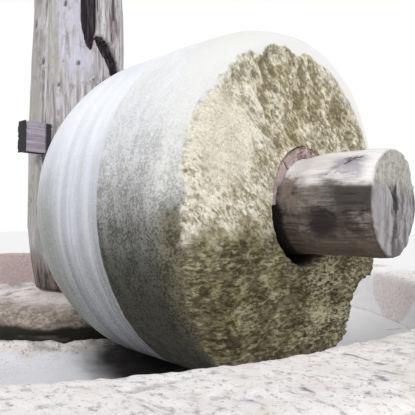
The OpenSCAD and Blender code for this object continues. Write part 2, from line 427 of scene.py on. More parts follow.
def crystal_group():
    """Granite seen close: a ground colour with dark and pale crystals in loose clusters."""
    t = Group("Crystal speckle", "Vector", "Ground, Dark grain, Pale grain", "Grain, Dark share, Mottle")
    p, ground, dark_grain, pale_grain, grain, dark_share, mottle = t.given
    cell = t.add("ShaderNodeTexVoronoi", {"Vector": p, "Scale": grain})[1]
    first, second, third = t.add("ShaderNodeSeparateColor", {0: cell})
    share = dark_share * p.noise(grain * 0.16, 3, 0.6).window(0.35, 0.68)
    color = ground.paint(
        (t.maths("GREATER_THAN", second, 0.62) * 0.65, pale_grain),
        (p.noise(grain * 0.05, 4, 0.6).window(0.45, 0.75) * mottle, dark_grain),
        (t.maths("LESS_THAN", first, share) * 0.85, dark_grain))
    return t.done(Color=color, Height=third * 0.4 + p.noise(grain * 1.6, 3, 0.6))


def grain_group():
    """Weathered wood with its fibres along the vector's Z: streaks and open checks."""
    t = Group("Weathered grain", "Vector", "Pale, Deep", "Fibre, Checks")
    p, pale, deep, fibre, checks = t.given
    waver = p.noise(9, 2, 0.5, (1, 1, 0.3))
    sway = t.add("ShaderNodeCombineXYZ", {0: waver * 0.02, 1: waver * -0.02})[0]
    bent = p.mapped((1, 1, 0.055)).vector("ADD", sway)[0]
    tone = bent.noise(fibre, 6, 0.65, twist=0.3) * 0.7 + bent.noise(fibre * 4, 3, 0.6) * 0.3
    line = t.maths("ABSOLUTE", bent.noise(fibre * 0.55, 2, 0.4) - 0.5, 0)
    check = line.window(0.022, 0.004) * (p.noise(7, 2, 0.5).window(0.42, 0.62) * checks)
    color = tone.window(0.40, 0.61).between(deep, pale).paint((check * 0.9, (0.03, 0.025, 0.025)))
    return t.done(Color=color, Height=tone - check)


def dirt_and_shade_group():
    """Dark dirt in hollows, and painted shade in hollows, crevices and under parts."""
    t = Group("Hollow dirt", colors="Color, Dirt", values="Hollow, Amount")
    color, dirt, hollow, amount = t.given
    return t.done(Color=color.paint((hollow.window(0.1, 0.9) * amount, dirt)))


def damp_and_shade_group():
    """Darkening that thickens downwards between two heights, with a ragged upper edge: stained on most
    pieces, painted shade on the hub.
    """
    t = Group("Shaded_damp foot", "Vector", "Color, Stain", "Top, Depth, Fray, Amount")
    p, color, stain, top, depth, fray, amount = t.given
    below = top - (p.parts()[2] + (p.noise(9, 5, 0.6) - 0.5) * fray)
    share = t.maths("DIVIDE", below, depth).window(0, 1) * amount
    return t.done(Color=color.paint((share, stain)), Stain_mask=share)


CRYSTAL, GRAIN, DIRT_AND_SHADE, DAMP_AND_SHADE = crystal_group(), grain_group(), dirt_and_shade_group(), damp_and_shade_group()


def two_tone(value, share, rows):
    """Two colours that follow a value and are mixed by a share, from rows of (value, second, first)."""
    second = value.ramp([row[:4] for row in rows])
    return value.ramp([(row[0], *row[4:]) for row in rows]).paint((share, second))


def runner_granite(t, p):
    """Polished tread, dark speckled band, picked face and white worn shoulder; the tread and band darken
    downwards, partly wet staining and partly painted shade, and the bore is painted near-black as shade.
    """
    x, _, z = p.parts()
    ragged = p.noise(8, 4, 0.6) - 0.5
    level = z + ragged * 0.12
    inward = RUNNER_X - x
    behind = t.mask("behind")

    # The tread darkens downwards: partly wet staining, partly painted shade under the stone.
    tread = two_tone(level, p.noise(1, 5, 0.6, (26, 1.1, 1.1)).window(0.36, 0.62), (
        (0.58, 0.24, 0.25, 0.26, 0.10, 0.105, 0.108), (0.73, 0.38, 0.395, 0.41, 0.18, 0.19, 0.193),
        (0.89, 0.60, 0.62, 0.67, 0.37, 0.385, 0.41), (1.00, 0.64, 0.665, 0.73, 0.48, 0.50, 0.53),
        (1.12, 0.75, 0.775, 0.85, 0.63, 0.65, 0.70), (1.26, 0.83, 0.85, 0.92, 0.78, 0.80, 0.85)))
    soiled = inward.window(0.300, 0.395) * level.window(1.08, 0.90)
    tread = tread.paint((soiled * 0.72, (0.20, 0.215, 0.17)))
    speckled = t.crystals(p, tread, (0.36, 0.38, 0.39), (0.86, 0.87, 0.91), 420, 0.16, 0.4)[0]
    tread = tread.paint((0.28, speckled))

    # The band darkens downwards too: partly wet staining, partly painted shade.
    swayed = level + (p.noise(1, 5, 0.7, (16, 1.8, 1.8)) - 0.5) * 0.26
    share = (p.noise(165, 4, 0.75) + (p.noise(22, 5, 0.7, (1.6, 1, 1)) - 0.5) * 0.55).window(0.38, 0.60)
    band = two_tone(swayed, share, (
        (0.70, 0.065, 0.063, 0.049, 0.022, 0.022, 0.016), (0.80, 0.10, 0.10, 0.085, 0.032, 0.033, 0.027),
        (0.89, 0.21, 0.21, 0.195, 0.072, 0.073, 0.065), (0.96, 0.42, 0.42, 0.42, 0.20, 0.20, 0.19),
        (1.06, 0.64, 0.64, 0.655, 0.38, 0.39, 0.385), (1.14, 0.73, 0.74, 0.765, 0.56, 0.57, 0.58),
        (1.31, 0.80, 0.81, 0.835, 0.74, 0.745, 0.75)))
    scuffed = inward.window(-0.005, -0.085) * swayed.window(0.90, 1.02)
    brown = inward.window(-0.030, -0.085) * level.window(0.98, 0.88)
    band = band.paint(
        (scuffed * (share * 0.35 + 0.30), (0.74, 0.74, 0.70)),
        (brown * 0.75, share.between((0.050, 0.046, 0.026), (0.19, 0.175, 0.11))))

    drawn = p.mapped(turn=(0.644, 0, 0)).mapped((1, 0.42, 1))
    broad = drawn.noise(30, 3, 0.6)
    pecks = drawn.noise(118, 4, 0.62) + (broad - 0.5) * 0.45
    peck_share = behind * 0.1 + 0.86 - t.mask("smooth") * 0.74
    wide = p.noise(10, 4, 0.6)
    bare = t.crystals(p, (0.86, 0.805, 0.665), (0.56, 0.50, 0.36), (0.94, 0.91, 0.82), 380, 0.12, 0)[0]
    face = bare.paint(
        (behind, (0.88, 0.86, 0.80), "MULTIPLY"),
        (p.noise(7, 4, 0.65).window(0.50, 0.72) * 0.35, (0.55, 0.54, 0.40)),
        (broad.window(0.56, 0.36) * (peck_share * 0.58), (0.50, 0.44, 0.31), "MULTIPLY"),
        (pecks.window(0.55, 0.38) * peck_share, (0.285, 0.245, 0.14)),
        (pecks.window(0.53, 0.66) * peck_share, (0.93, 0.89, 0.765)),
        (wide.window(0.46, 0.62) * (behind * 0.45 + 0.22), (0.62, 0.58, 0.46), "MULTIPLY"))
    face, wet = t.damp(p, face, (0.185, 0.165, 0.086), 0.925, 0.09, 0.18, 0.93)
    streaks = p.noise(50, 4, 0.66, (1, 1, 2.8), (0.12, 0, 0))
    flakes = streaks + (p.noise(9, 4, 0.65, (1, 1, 1.8)) - 0.5) * 0.5
    face = face.paint(
        (flakes.window(0.46, 0.68) * (wet * 0.9), (0.66, 0.61, 0.385)),
        (flakes.window(0.52, 0.36) * (wet * 0.85), (0.060, 0.052, 0.026)),
        (wide.window(0.44, 0.60) * (wet * 0.75), (0.40, 0.36, 0.25), "MULTIPLY"),
        (0.26 - p.noise(170, 3, 0.7).window(0.36, 0.64) * 0.26, (0.30, 0.28, 0.22), "MULTIPLY"))
    frayed = p.noise(55, 5, 0.75)
    face = t.dirty(face, (0.215, 0.185, 0.115), 0.78).paint(
        (t.mask("flaked") * (flakes.window(0.38, 0.62) * 0.72), (0.74, 0.68, 0.47)),
        (t.mask("dusted") * (frayed.window(0.40, 0.60) * 0.8), (0.82, 0.80, 0.72)))

    edge = inward + ragged * 0.012
    cover = (t.mask("picked") + (frayed - 0.5) * 0.9).window(0.30, 0.70)
    # The eye mask paints the bore near-black: painted shade.
    color = band.paint((edge.window(0.148, 0.156), tread), (t.mask("worn"), (0.745, 0.742, 0.725)),
                       (cover, face), (t.mask("eye"), (0.010, 0.009, 0.009)))
    cuts = wet.between((drawn.noise(64, 3, 0.55) - 0.5) * 1.7, (streaks - 0.5) * 1.5)
    height = (cuts + (p.noise(120, 3, 0.6) - 0.5) * 0.5) * (cover + 0.05)
    return color, 0.82 - edge.window(0.145, 0.160) * 0.37, height.relief(0.011, 0.9)


def rim_granite(t, p):
    """Coarse pale granite, mottled and streaked along its bed, with lime smeared over its lower edges."""
    mottle, rosy = p.noise(46, 6, 0.74), p.noise(8, 4, 0.65)
    strata = p.noise(36, 6, 0.7, (0.30, 1.25, 1.25), (0, 0, 0.12))
    shaded, lime = t.mask("shaded"), t.mask("lime")
    stone = t.crystals(p, (0.97, 0.94, 0.935), (0.50, 0.45, 0.46), (0.97, 0.96, 0.96), 250, 0.06, 0.06)[0]
    color = stone.paint(
        (mottle.window(0.53, 0.60) * 0.9, (0.64, 0.575, 0.59)),
        (mottle.window(0.615, 0.65) * 0.8, (0.30, 0.275, 0.29)),
        (rosy.window(0.50, 0.62) * 0.60, (0.86, 0.80, 0.73)),
        (rosy.window(0.46, 0.36) * 0.45, (0.88, 0.79, 0.79)),
        (strata.window(0.55, 0.66) * 0.6, (0.47, 0.44, 0.47)),
        (strata.window(0.64, 0.70) * 0.75, (0.22, 0.20, 0.22)),
        (t.mask("marked"), (0.24, 0.22, 0.24)))
    face = p.noise(75, 4, 0.75).window(0.40, 0.60).between((0.78, 0.68, 0.66), (0.97, 0.92, 0.905))
    color = t.dirty(color, (0.34, 0.31, 0.31), 0.75).paint(
        (shaded, (0.58, 0.49, 0.48), "MULTIPLY"),
        (t.mask("inner") * 0.75, face.paint((shaded, (0.66, 0.58, 0.565), "MULTIPLY"))),
        (lime, (0.95, 0.945, 0.945)))
    height = (mottle * -1.2 + p.noise(120, 5, 0.75)) * (1 - lime * 0.7)
    return color, 0.75, height.relief(0.006, 0.7)


def bed_granite(t, p):
    """Ground smooth and lavender-grey on the track, pale and rough at the ledge, with the runner's shadow
    painted on the track as a dark wet smudge, and a lime-white patch right of the runner painted brighter
    to stand for light.
    """
    ground, fine = t.crystals(
        p, (0.80, 0.795, 0.85), (0.54, 0.53, 0.56), (0.90, 0.89, 0.93), 260, 0.10, 0.25)
    broken, coarse = t.crystals(
        p, (0.72, 0.68, 0.66), (0.34, 0.32, 0.31), (0.85, 0.83, 0.81), 170, 0.22, 0.35)
    raw = t.mask("raw")
    color = ground.paint(
        (p.noise(3.5, 4, 0.55).window(0.42, 0.68) * 0.6, (0.91, 0.90, 0.94)),
        (raw, broken),
        # Painted light, with lime: the patch right of the runner is painted near-white where the lamps
        # leave it grey.
        (t.mask("limed"), (0.95, 0.945, 0.955)),
        # Painted shadow: the runner's shadow on the track, drawn as a dark wet smudge.
        (t.mask("damp") * (1.08 - p.noise(16, 4, 0.6) * 0.16), (0.026, 0.023, 0.024)))
    return (t.dirty(color, (0.05, 0.045, 0.038), 0.97), raw * 0.4 + 0.42,
            raw.between(fine, coarse).relief(0.002, 0.35))


def hub_granite(t, p):
    """Worn pinkish granite: pale on top, tan on its side, black in the crevice; the darker side and the
    black crevice are partly painted shade.
    """
    stone, bumps = t.crystals(p, (0.96, 0.87, 0.85), (0.60, 0.50, 0.48), (0.95, 0.89, 0.87), 210, 0.20, 0.3)
    spots = p.noise(38, 6, 0.78, (1, 1, 1.8))
    # The side is painted tan and darker than the top: partly its own tone, partly painted shade.
    tan = spots.window(0.34, 0.66).between((0.105, 0.08, 0.07), (0.54, 0.455, 0.37))
    color = t.damp(p, stone, tan, 0.618, 0.035, 0.05, 0.92)[0]
    # The crevice below the ledge is painted near-black: partly grime, partly painted shade.
    color = t.damp(p, color, (0.022, 0.022, 0.016), 0.548, 0.022, 0.04, 0.98)[0]
    return t.dirty(color, (0.17, 0.14, 0.12), 0.7), 0.8, (bumps + spots * 1.5).relief(0.005, 0.6)


def mortar(t, p):
    """Smooth white lime with trowel sweeps and faint grey stains."""
    sweep = p.noise(12, 5, 0.6, (1, 1, 2), twist=0.6)
    color = sweep.window(0.35, 0.7).between((0.88, 0.87, 0.87), (0.95, 0.945, 0.95))
    height = sweep + p.noise(140, 3, 0.6) * 0.25
    return t.dirty(color, (0.55, 0.53, 0.52), 0.5), 0.85, height.relief(0.003, 0.5)


def masonry(t, p):
    """Field stones of several greys, each with its own tone, lichen-dull below."""
    ground = t.mask("tone").between((0.40, 0.37, 0.34), (0.66, 0.61, 0.57))
    stone, bumps = t.crystals(p, ground, (0.22, 0.20, 0.19), (0.76, 0.73, 0.70), 170, 0.28, 0.35)
    return t.damp(p, stone, (0.20, 0.18, 0.15), 0.13, 0.16, 0.12, 0.6)[0], 0.85, bumps.relief(0.005, 0.6)


def shaft_wood(t, p):
    """Grey-lavender weathered log, brown in its rotten channel, dark at its foot."""
    wood, fibres = t.grain(p, (0.63, 0.605, 0.63), (0.285, 0.262, 0.268), 55, 0.5)
    patch, blurred = p.noise(9, 4, 0.65, (1, 1, 0.35)), p.noise(34, 4, 0.65, (1, 1, 0.6))
    bleach, brown = p.noise(24, 5, 0.7, (1, 1, 0.5)), p.noise(62, 4, 0.6, (1, 1, 0.16))
    rotten = p.noise(70, 4, 0.6, (1, 1, 0.12)).window(0.45, 0.66).between((0.020, 0.016, 0.022),
                                                                        (0.10, 0.075, 0.08))
    color = wood.paint(
        (blurred.window(0.52, 0.62) * 0.70, (0.25, 0.23, 0.225)),
        (patch.window(0.50, 0.64) * 0.65, (0.40, 0.38, 0.35)),
        (patch.window(0.47, 0.36) * 0.6, (0.62, 0.61, 0.67)),
        (t.mask("bleached") * (bleach.window(0.36, 0.58) * 0.7), (0.61, 0.60, 0.715)),
        (t.mask("dull") * blurred.window(0.62, 0.42), (0.375, 0.36, 0.325)),
        (t.mask("stained") * brown.window(0.40, 0.58), (0.17, 0.115, 0.125)),
        (t.mask("rot").window(0.10, 0.45), rotten),
        (t.mask("knot") * 0.9, (0.115, 0.10, 0.10)))
    foot = brown.window(0.36, 0.64).between((0.040, 0.030, 0.028), (0.215, 0.165, 0.155))
    color = t.damp(p, color, foot, 0.86, 0.18, 0.18, 0.92)[0]
    return t.dirty(color, (0.11, 0.09, 0.09), 0.9), 0.85, fibres.relief(0.005, 0.6)


def axle_wood(t, p):
    """Log axle: bleached on top, brown-grey below, rings and checks in its end grain."""
    centred = p.mapped(place=(0, 0, -AXLE_Z))
    turned = centred.mapped(turn=(0, math.pi / 2, 0))
    wood, fibres = t.grain(turned, (0.31, 0.264, 0.243), (0.105, 0.089, 0.082), 70, 0.7)
    bleached = t.grain(turned, (0.98, 0.96, 0.96), (0.86, 0.82, 0.83), 60, 0.3)[0]
    x, across, up = centred.parts()
    ragged = p.noise(16, 4, 0.6, (0.35, 1, 1)) - 0.5
    height = up + ragged * 0.085
    lifted = height + x.window(1.25, 1.30) * 0.018
    blotched, lichen = p.noise(26, 5, 0.68), p.noise(90, 5, 0.75)
    outer_half = x.window(1.235, 1.290) * lifted.window(0.078, 0.040) * blotched.window(0.36, 0.56)
    mottled = p.noise(52, 5, 0.72, (0.6, 1, 1)).window(0.55, 0.42) * lifted.window(0.066, 0.040)
    greyed = (x.window(1.225, 1.262) * x.window(1.345, 1.310) * up.window(0.128, 0.108)
              * p.noise(34, 5, 0.68, (0.5, 1, 1)).window(0.36, 0.56) * lifted.window(0.060, 0.085))
    tanned = x.window(1.20, 1.15) * height.window(-0.09, 0) * height.window(0.090, 0.055)
    torn = centred.mapped(turn=(0, 0.5, 0)).noise(60, 5, 0.7, (0.3, 1, 1))
    rings = (centred.mapped((0, 1, 1), (0, 0.012, -0.006)).vector("LENGTH")[1] * 150
             + p.noise(14, 2, 0.5) * 3).rings()
    end = (p.noise(17, 6, 0.68, (1, 2.4, 0.8)) + rings * 0.12).window(0.46, 0.66).between(
        (0.125, 0.116, 0.12), (0.35, 0.33, 0.345)).paint(
        # Painted highlight: the end grain is lighter towards its -Y edge.
        ((across + ragged * 0.06).window(-0.030, -0.085) * 0.55, (0.40, 0.375, 0.385)),
        ((up + ragged * 0.08).window(0.015, 0.07) * 0.8,
         lichen.window(0.4, 0.6).between((0.31, 0.30, 0.26), (0.52, 0.505, 0.45))))
    color = wood.paint(
        (lifted.window(0.044, 0.072), bleached),
        (outer_half, (0.34, 0.34, 0.315), "MULTIPLY"),
        (mottled * 0.60, (0.085, 0.080, 0.066)),
        (x.window(1.170, 1.135) * height.window(0.060, 0.020), (0.50, 0.47, 0.45), "MULTIPLY"),
        (greyed * 0.85, (0.42, 0.385, 0.44)),
        (height.window(-0.02, -0.11) * 0.6, (0.150, 0.108, 0.080)),
        (tanned * blotched.window(0.38, 0.62), (0.29, 0.232, 0.202)),
        (t.mask("smoked") * 0.92, (0.062, 0.054, 0.051)),
        (t.mask("bruise") * torn.window(0.34, 0.56), (0.235, 0.205, 0.235)),
        (t.mask("end"), end),
        (t.mask("knot"), (0.050, 0.041, 0.043)),
        # Painted shade on the axle and tenon between the shaft and the runner's inner face.
        (x.window(0.42, 0.30), (0.50, 0.47, 0.48), "MULTIPLY"))
    return t.dirty(color, (0.012, 0.010, 0.011), 0.96), 0.82, (fibres + lichen * 0.6).relief(0.005, 0.7)


def arm_wood(t, p):
    """Squared timber across the shaft: lavender-grey faces, black end grain."""
    turned = p.mapped(turn=(math.pi / 2, 0, 0))
    wood, fibres = t.grain(turned, (0.47, 0.43, 0.51), (0.31, 0.275, 0.33), 95, 0.2)
    color = wood.paint((t.mask("end") * 0.96, (0.020, 0.019, 0.019)))
    return t.dirty(color, (0.03, 0.025, 0.027), 0.95), 0.85, fibres.relief(0.004, 0.6)


def key_wood(t, p):
    """Riven hardwood key, rubbed pale at its bruised head."""
    wood, fibres = t.grain(p, (0.50, 0.42, 0.35), (0.28, 0.21, 0.16), 120, 0.6)
    return t.dirty(wood, (0.09, 0.07, 0.06), 0.8), 0.75, fibres.relief(0.003, 0.6)


def bush_wood(t, p):
    """Reddish brown rotten wood, split along its fibres."""
    turned = p.mapped(turn=(0, math.pi / 2, 0))
    wood, fibres = t.grain(turned, (0.66, 0.53, 0.50), (0.36, 0.25, 0.235), 130, 0.7)
    reach = p.mapped((0, 1, 1), (0, 0, -AXLE_Z)).vector("LENGTH")[1]
    layers = (reach * 210 + p.noise(24, 3, 0.5) * 4).rings()
    color = layers.window(0.42, 0.62).between((0.165, 0.105, 0.098), (0.36, 0.265, 0.25)).paint(
        (p.parts()[1].window(-0.035, -0.125) * 0.8, (0.44, 0.365, 0.36)),
        (p.noise(60, 4, 0.7).window(0.46, 0.60), wood))
    return t.dirty(color, (0.05, 0.035, 0.03), 0.9), 0.85, fibres.relief(0.004, 0.5)


def iron(t, p):
    """Dark forged iron with brown rust in patches."""
    rust = p.noise(38, 6, 0.65).window(0.42, 0.6)
    color = rust.between((0.060, 0.052, 0.048), (0.20, 0.095, 0.050)).paint(
        (p.noise(160, 3, 0.6).window(0.55, 0.7) * 0.5, (0.30, 0.15, 0.08)))
    return color, rust * 0.35 + 0.5, p.noise(90, 5, 0.7).relief(0.002, 0.7)


def finish_material(make):
    """A material from a function that gives its colour, roughness and normal."""
    material = bpy.data.materials.new(make.__name__.replace("_", " "))
    material.use_nodes = True
    material.node_tree.nodes.clear()
    t = Tree(material.node_tree)
    color, roughness, normal = make(t, t.add("ShaderNodeTexCoord")[3])
    surface = {"Metallic": 0.6} if make is iron else {"Specular IOR Level": 0.2}
    shader = t.add("ShaderNodeBsdfPrincipled", {
        "Base Color": color, "Roughness": roughness, "Normal": normal, **surface})[0]
    t.add("ShaderNodeOutputMaterial", {"Surface": shader})
    return material


FINISH = {make.__name__: finish_material(make) for make in (
    runner_granite, rim_granite, bed_granite, hub_granite, mortar, masonry, shaft_wood, axle_wood, arm_wood,
    key_wood, bush_wood, iron)}


# The runner stone

# Where the bore and the inner face start along the section, from the eye's mouth outward
BORE_FROM, INNER_FROM = 1.30, 1.045
# The spacing of the points from which the rows are picked
FINE = 0.001
# The taper's slope, and the middle of the inner shoulder's rounding, along the axle and out from it
SHOULDER_TURN = math.atan(TAPER / TAPER_LEN)
SHOULDER_S = TAPER_LEN - INNER_ROUND * math.sin(SHOULDER_TURN)
SHOULDER_C = RUNNER_R - TAPER - INNER_ROUND * math.cos(SHOULDER_TURN)
# The spacing of the rows by length along the section
ROW_SPACING = ((0.00, 0.0037), (0.30, 0.0037), (0.36, 0.0048), (0.42, 0.0065), (0.60, 0.0075),
               (0.70, 0.0120), (1.05, 0.0125), (1.28, 0.0140), (1.33, 0.0450), (1.95, 0.0450),
               (2.05, 0.0050))
# How far the picked face reaches from the eye's mouth, and how softly it ends, by angle round the axle
PICK_EDGE = ((30, 0.272, 0.012), (42, 0.264, 0.010), (57, 0.255, 0.009), (76, 0.256, 0.009),
             (95, 0.258, 0.008), (119, 0.273, 0.009), (130, 0.288, 0.014), (142, 0.304, 0.016),
             (152, 0.322, 0.024), (162, 0.330, 0.032), (180, 0.322, 0.036), (195, 0.330, 0.036),
             (215, 0.352, 0.034), (235, 0.366, 0.030), (270, 0.360, 0.026), (300, 0.345, 0.022),
             (335, 0.325, 0.018), (352, 0.300, 0.014))
# The upright ridge left of the hollowed part of the face: height and distance across
RIDGE = ((0.95, -0.150), (1.06, -0.146), (1.125, -0.160), (1.19, -0.212), (1.23, -0.245), (1.30, -0.275),
         (1.40, -0.29))
# Broken spots of the outer edge: angle, distance from the axis, distance out past the face, radius
CHIPS = ((-43, 0.545, -0.025, 0.150), (112, 0.415, 0.098, 0.118),
         (141, 0.430, 0.092, 0.110), (205, 0.470, 0.088, 0.105))


def runner_radius(s):
    """The runner's radius at a distance inward from its widest part."""
    if s < 0:
        return RUNNER_R - OUTER_ROUND + math.sqrt(OUTER_ROUND ** 2 - s * s)
    if s < TAPER_LEN:
        return RUNNER_R - TAPER * s / TAPER_LEN
    return SHOULDER_C + math.sqrt(max(0, INNER_ROUND ** 2 - (s - SHOULDER_S) ** 2))


def runner_section():
    """The closed section (x, radius, length along it), from the eye's mouth outward, with the
    corners softened, and rows close together where the stone is rough."""
    skin = [(RUNNER_X - s, runner_radius(s)) for s in np.linspace(-OUT_LEN, IN_LEN, 400)]
    fine = along([(OUT_X, EYE_R), *skin, (IN_X, EYE_R), (OUT_X, EYE_R)], FINE)[:-1]
    padded, soft = np.concatenate([fine[-40:], fine, fine[:40]]), []
    for spread in (3.0, 11.0):
        k = np.exp(-0.5 * (np.arange(-40, 41) / spread) ** 2)
        soft.append([np.convolve(column, k / k.sum(), "valid") for column in padded.T])
    soft = np.where(fine[:, 1] < EYE_R + 0.03, *soft)
    at = np.arange(len(fine))
    count = np.concatenate([[0], np.cumsum(1 / follow(at * FINE, ROW_SPACING))]) * FINE
    pick = np.interp(np.arange(int(count[-1])), count[:-1], at)
    return np.stack([np.interp(pick, at, column) for column in (*soft, at * FINE)], -1)


def make_runner():
    rows, a = runner_section(), round_turn(480)
    far = rows[:, 1:2]
    piece, p, n = plain_mesh("runner_stone_worn", [
        together(rows[:, :1], far * np.cos(a), AXLE_Z + far * np.sin(a))], ring=True)
    x, y, z = p.T
    radius, angle = polar(y, z - AXLE_Z)
    reach = np.repeat(rows[:, 2], len(a))
    bore = reach > BORE_FROM
    inner_face = (reach > INNER_FROM) & ~bore

    # Where the face is picked, worn, damp, hollowed behind its ridge, or smooth
    at, out, fade = zip(*PICK_EDGE)
    edge, fade = np.interp(angle, at, out, period=360), np.interp(angle, at, fade, period=360)
    calm = sector(angle, 52, 44, 22)
    edge = edge + (0.010 + 0.25 * fade) * (1 - 0.65 * calm) * rough(p, 0.055, 21, 4)
    within = edge - reach
    picked = window(within, -fade - 0.008 * calm, fade + 0.008 * calm) * ~bore
    cut = window(within, -0.5 * fade, 0.014 + fade + 0.024 * calm) * ~bore
    top = sector(angle, 82, 62, 20)
    worn = (1 - picked) * top * window(0.50 - reach, 0, 0.10) * ~bore
    damp = window(0.905 - z + 0.05 * swell(p, 0.08, 5), 0, 0.09)
    right = window(y + 0.006 * swell(p, 0.03, 9) - follow(z, RIDGE), 0, 0.026) * window(z, 0.92, 1.00)
    right = right * (reach < 0.45)
    behind = right * window(within, 0, 0.10)
    smooth = spot(y + 0.345, z - 1.10, 0.15, 0.15, 0.6) * (1 - right)
    crag = window(0.034 - np.abs(within - 0.030), 0, 0.02) * sector(angle, 118, 38, 18)
    coarse = (1 - 0.75 * smooth) * (0.70 + 0.30 * np.maximum(right, damp))

    # The tool marks, flakes and pits of the picked face
    warp = p + 0.008 * np.stack([swell(p, 0.04, 31 + k) for k in range(3)], -1)
    slanted = warp @ np.array([[1, 0, 0], [0, 0.8, -0.6], [0, 0.6, 0.8]]).T
    lumps = 0.0055 * rough(p, 0.13, 40, 3) + 0.0022 * terraces(rough(p, 0.05, 44, 3), 3)
    fine = rough(slanted, (0.014, 0.024, 0.0105), 50, 4, 0.62)
    large = rough(slanted, (0.040, 0.050, 0.024), 54, 3, 0.6)
    flakes = rough(warp, (0.020, 0.040, 0.0105), 60, 4, 0.62)
    marks = (fine * (1 - 0.3 * right) + 0.34 * large * right) * (1 - damp) + flakes * damp
    pits, crests = window(-marks, 0, 0.62), window(marks, 0, 0.7)
    deep = window(rough(p, (0.05, 0.042, 0.026), 66, 3), 0.30, 0.85) * behind
    deep = np.maximum(deep, crag * window(rough(slanted, (0.03, 0.045, 0.018), 68, 3), -0.15, 0.45))
    flush = 0.0035 * window(reach, edge - 0.06, edge - 0.01) * (1 - top)
    face = lumps + flush + coarse * (0.0032 * crests - 0.0078 * pits) - 0.011 * behind - 0.0065 * deep

    # The smoother skin elsewhere, and how far each point moves
    uneven = rough(p, 0.2, 84, 2)
    band = 0.0012 * rough(p, 0.018, 70, 3) - 0.0010 * window(-rough(p, 0.010, 75, 2), 0.2, 0.7)
    band = band + 0.002 * uneven
    tread = 0.0010 * rough(p, (0.020, 0.5, 0.5), 80, 3) + 0.0015 * uneven - 0.0015
    skin = blend(window(RUNNER_X - x, 0.148, 0.160), band, tread)
    skin = blend(worn, skin, 0.003 * rough(p, 0.12, 90, 2))
    shift = blend(cut, skin, face)
    shift = np.where(inner_face, 0.0030 * rough(p, (0.03, 0.05, 0.02), 95, 4) - 0.002, shift)
    shift = np.where(bore, -0.0004 - 0.0008 * np.abs(swell(p, 0.02, 97)), shift)
    shift = np.where(x < IN_X + 0.2, np.minimum(shift, 0.002), shift)

    # The lip of the eye is moved straight out, and the bore stays behind it
    mouth = window(radius, EYE_R + 0.035, EYE_R) * (reach < 0.05)
    shift = np.where((mouth > 0) & (shift < 0), shift * (1 - 0.8 * mouth), shift)
    at_lip = window(radius, EYE_R + 0.030, EYE_R + 0.010) * (reach < 0.05)
    moved = p + blend(at_lip[:, None], n, np.array([1.0, 0, 0])) * shift[:, None]
    out_x = moved[:, 0].reshape(len(rows), -1)
    in_eye = rows[:, 2] > BORE_FROM
    out_x[in_eye] = np.minimum(out_x[in_eye], out_x[rows[:, 2] < 0.006].min(0) - WITHIN)
    moved[:, 0] = out_x.ravel()

    # Chips and nicks along the outer edge, each cut by a ball
    random = np.random.default_rng(5)
    nicks = [(turn, 0.455 + 0.02 * random.random(), 0.016 + 0.010 * random.random(),
              0.024 + 0.012 * random.random()) for turn in random.uniform(-75, 30, 6)]
    nicks += [(turn, 0.480, 0.028, 0.042 + 0.015 * random.random()) for turn in random.uniform(195, 270, 4)]
    chip, uneven = np.zeros(len(p)), 1 + 0.05 * rough(p, 0.05, 100, 3)
    for turn, out, past, size in (*CHIPS, *nicks):
        turn = math.radians(turn)
        gap = np.array([OUT_X + past, out * math.cos(turn), AXLE_Z + out * math.sin(turn)]) - p
        inside, ahead = (size * uneven) ** 2 - (gap ** 2).sum(1), -(n * gap).sum(1)
        depth = ahead + np.sqrt(np.maximum(ahead ** 2 + inside, 0))
        chip = np.maximum(chip, np.where((inside > 0) & ~bore, depth, 0))
    chip = chip * window(np.where(np.abs(turn_gap(angle, 130)) < 60, edge, 0.40) - reach, 0, 0.035)
    chipped = window(chip, 0, 0.010) * (1 - worn)
    moved = moved - n * chip[:, None] + n * (chipped * (face - shift) * (1 - cut))[:, None]
    picked = np.maximum(picked, chipped)
    finish_piece(
        piece, moved, "runner", "runner_granite", "runner_stone", worn=worn, behind=right, smooth=smooth,
        picked=np.where(inner_face, 0.8, picked),
        # Pits and the hollowed part are darkened: partly grime, partly painted shade in the recesses.
        hollow=picked * np.clip(coarse * 0.72 * pits + 0.65 * deep + 0.10 * behind, 0, 1),
        flaked=np.maximum(spot(y - 0.10, z - 0.755, 0.13, 0.075, 0.5),
                          0.8 * spot(y - 0.13, z - 0.61, 0.20, 0.085, 0.5)) * picked,
        dusted=(picked * window(within, 0.050, 0) * (1 - damp)
                * window(np.abs(turn_gap(angle, 105)), 14, 34)),
        # Painted shade: the bore behind the eye's mouth.
        eye=bore * window(x, OUT_X - 0.004, OUT_X - 0.012))


# The basin: rim, mortar, bed, hub and drum

# The upper edge of the lime on the stone beside the broad joint: angle and height
LIME_TOP = ((10, 0.50), (31, 0.63), (36.5, 0.60), (39, 0.55), (43.7, 0.48), (49.9, 0.46), (53.8, 0.54),
            (54.6, 0.58))
# How dark and rosy each rim stone is: partly each stone's own tone, partly painted shade on the far stones
RIM_SHADE = (0, 0, 0.35, 1, 1, 0.8, 0.35, 0.35)
# Dark scratches on the near stone's top: from, to, half width
SCRATCHES = ((1.410, -0.363, 1.487, -0.372, 0.006), (1.505, -0.447, 1.528, -0.457, 0.006),
             (1.452, -0.585, 1.470, -0.590, 0.004), (1.560, -0.250, 1.600, -0.262, 0.004))
# Heights of the drum's courses of field stones
COURSES = (0.118, 0.092, 0.080)


def rim_loop(back, spacing):
    """The rim's closed outline (radius, height)."""
    r, inner, outer, top = RIM_ROUND, RIM_IN + back, RIM_OUT - back, RIM_TOP - back
    line = [(inner, SEAT_Z), (outer, SEAT_Z), *arc(outer - r, top - r, r, 0, 90),
            *arc(inner + r, top - r, r, 90, 180), (inner, SEAT_Z)]
    return along(line, spacing)[:-1]


